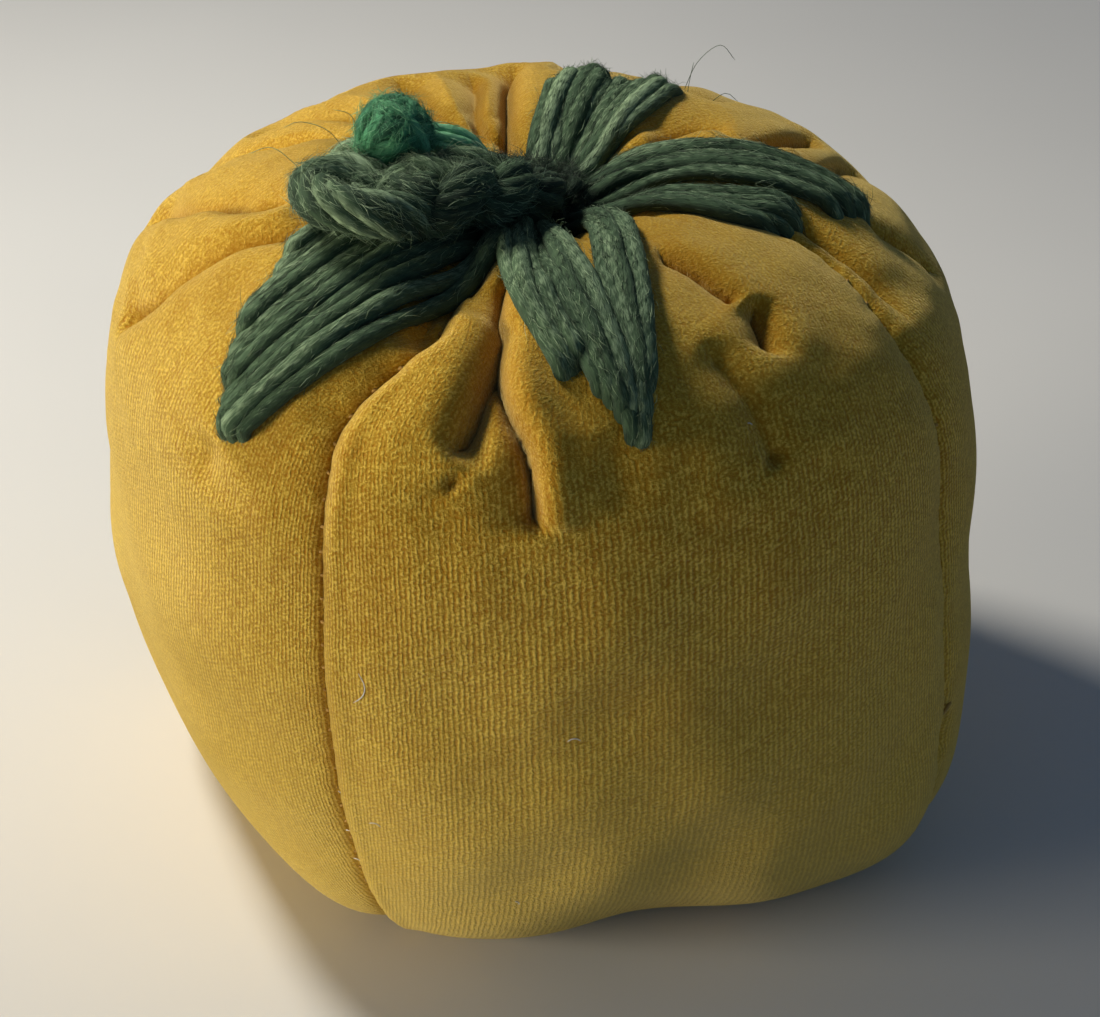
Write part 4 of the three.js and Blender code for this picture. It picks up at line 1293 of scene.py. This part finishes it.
def velour_material():
    """Knitted velour: a short nap with sheen over fine ribs, more orange where it is worn and towards the
    gathers, with painted shade deepening its folds and a painted floor bounce paling its lower sides.
    """
    surface = Surface("golden_velour")
    cloth, solid = surface.attribute("cloth")["Vector"], surface.solid()
    relief = knit_relief(surface, cloth, solid)
    down = surface.node("SeparateXYZ", {0: cloth})["Y"]
    patches = surface.noise(solid, PATCHES_PER_M, 3.0, 0.6)
    painted_fold_shade = surface.attribute("tone")["Fac"]
    color = surface.ramp(relief, [(0.38, GOLD_DEEP), (0.50, GOLD), (0.63, GOLD_PALE)])
    for value, (low, high), share, layer in (
        (down, GATHERED_ARCS, 0.45, GOLD_WARM),
        (patches, WORN_PATCHES, 0.3, GOLD_DEEP),
        # painted floor bounce: paler towards the base
        (down, PAINTED_BOUNCE_ARCS, 0.4, GOLD_PALE),
        # painted shade: the fold tone darkens the cloth to deep orange, and to brown in the deepest folds
        (painted_fold_shade, PAINTED_SHADE_TONES, 0.6, GOLD_DEEP),
        (painted_fold_shade, DEEP_PAINTED_SHADE_TONES, 1.0, GOLD_PAINTED_SHADE),
    ):
        color = surface.blend(surface.times(surface.between(value, low, high), share), color, layer)
    return surface.finish(
        color, relief, 0.9, 0.42, Roughness=1.0, Specular_IOR_Level=0.08,
        Sheen_Weight=1.0, Sheen_Roughness=0.38, Sheen_Tint=GOLD_SHEEN,
    )


def wool_material(name, stops, roughness, sheen):
    """Plied wool: its tone runs from the shaded hollows to the lit hairs, streaked along the yarn."""
    surface = Surface(name)
    inputs = {0: surface.attribute("cloth")["Vector"], 1: STREAKS["rates"]}
    place = surface.node("VectorMath", inputs, operation="MULTIPLY")[0]
    streaks = surface.noise(place, 1.0, 3.0, 0.65)
    streaked = surface.times(surface.plus(streaks, -0.5), STREAKS["share"])
    tone = surface.plus(surface.attribute("tone")["Fac"], streaked)
    return surface.finish(
        surface.ramp(tone, stops), streaks, 0.7, 0.13, Roughness=roughness, Specular_IOR_Level=0.35,
        Sheen_Weight=sheen, Sheen_Roughness=0.5, Sheen_Tint=WOOL_SHEEN,
    )


def fibre_material(name, low, high, scale, roughness, sheen=0.0):
    """A cloudy fibre surface between two colours, with a fine tangled relief."""
    surface = Surface(name)
    clouds = surface.noise(surface.solid(), scale / MM, 4.0, 0.65)
    color = surface.ramp(clouds, [(0.3, low), (0.7, high)])
    return surface.finish(color, clouds, 0.6, 0.4, Roughness=roughness, Sheen_Weight=sheen)


# ---- Floor, light and camera ----
FLOOR_SIZE = 3.0
FLOOR_STOPS = [(0.3, (0.69, 0.685, 0.68)), (0.7, (0.73, 0.725, 0.72))]
CAMERA = {"azimuth": -18.1, "elevation": 32.0, "distance": 0.32, "aim": (0.0, 0.0, 0.038)}
LENS = {"focal": 98.5, "sensor": 36.0, "shift": (0.0109, -0.0223)}
SKY = {"color": (0.50, 0.68, 1.0, 1.0), "strength": 0.12}


def around_place(azimuth, elevation, distance):
    """A place in metres, from its plan angle, its elevation and its distance from the cushion's foot."""
    a, e = math.radians(azimuth), math.radians(elevation)
    return distance * Vector((math.cos(e) * math.cos(a), math.cos(e) * math.sin(a), math.sin(e)))


# Each lamp's name, place, target, size, power and color.
LAMPS = [
    ("warm_lamp", (-0.125, 0.150, 0.290), (0.0, 0.0, 0.04), 0.07, 0.95, (1.0, 0.95, 0.83)),
    ("left_glow", around_place(180.0, 7.0, 0.7), (0.0, 0.0, 0.03), 0.3, 4.9, (1.0, 0.90, 0.69)),
    ("blue_window", around_place(-48.0, 10.0, 0.9), (0.0, 0.0, 0.04), 0.5, 0.44, (0.20, 0.55, 1.0)),
]


def floor_and_backdrop():
    bpy.ops.mesh.primitive_plane_add(size=FLOOR_SIZE, location=(0.0, 0.0, 0.0))
    floor = bpy.context.object
    floor.name = "floor"
    surface = Surface("pale_paper")
    color = surface.ramp(surface.noise(surface.solid(), 9.0, 3.0, 0.5), FLOOR_STOPS)
    surface.fill(surface.shader, {"Base Color": color, "Roughness": 0.8, "Specular IOR Level": 0.2})
    floor.data.materials.append(surface.material)


def place_aimed(name, data, place, target):
    """Puts a lamp or the camera at a place, looking at its target."""
    placed = bpy.data.objects.new(name, data)
    placed.location = place
    placed.rotation_euler = (Vector(target) - placed.location).to_track_quat("-Z", "Y").to_euler()
    bpy.context.scene.collection.objects.link(placed)
    return placed


def light_scene():
    for name, place, target, size, power, color in LAMPS:
        data = bpy.data.lights.new(name, "AREA")
        data.shape = "DISK"
        data.size = size
        data.energy = power
        data.color = color
        place_aimed(name, data, place, target)
    world = bpy.data.worlds.new("studio")
    world.use_nodes = True
    background = world.node_tree.nodes["Background"]
    background.inputs["Color"].default_value = SKY["color"]
    background.inputs["Strength"].default_value = SKY["strength"]
    bpy.context.scene.world = world
    bpy.context.scene.view_settings.view_transform = "Standard"


def set_camera():
    data = bpy.data.cameras.new("camera")
    data.lens = LENS["focal"]
    data.sensor_width = LENS["sensor"]
    data.shift_x, data.shift_y = LENS["shift"]
    data.clip_start = 0.01
    back = around_place(CAMERA["azimuth"] - 90.0, CAMERA["elevation"], CAMERA["distance"])
    place = Vector(CAMERA["aim"]) + back
    bpy.context.scene.camera = place_aimed("camera", data, place, CAMERA["aim"])


velour = velour_material()
wool = wool_material("green_wool", WOOL_STOPS, 0.9, 0.15)
wool_hair = wool_material("green_wool_hair", WOOL_STOPS, 0.55, 0.1)
emerald = wool_material("emerald_wool", EMERALD_STOPS, 0.85, 0.15)
emerald_hair = wool_material("emerald_wool_hair", EMERALD_STOPS, 0.45, 0.1)
sewing_thread = fibre_material("sewing_thread", (0.34, 0.19, 0.03), (0.50, 0.29, 0.06), 2.0, 0.7)
lint_fibre = fibre_material("lint_fibre", (0.70, 0.70, 0.68), (0.88, 0.88, 0.86), 0.5, 0.8)
wadding_fibre = fibre_material("wadding_fibre", (0.62, 0.58, 0.50), (0.82, 0.79, 0.72), 0.5, 0.95, 0.3)

for panel_number, (panel_name, panel_angle) in enumerate(PANEL_ANGLES.items()):
    velour_panel(panel_name, panel_angle, panel_number)
velour_base()
wadding()
corner_stitches()
closing_stitches()
base_stitches()
gathering_ring()
for leaf_number, leaf_shape in enumerate(LEAVES):
    wool_leaf(leaf_shape, leaf_number)
crown_wool()
wool_stem()
stem_root_wool()
bobble_wool()
lint_hairs()
floor_and_backdrop()
light_scene()
set_camera()
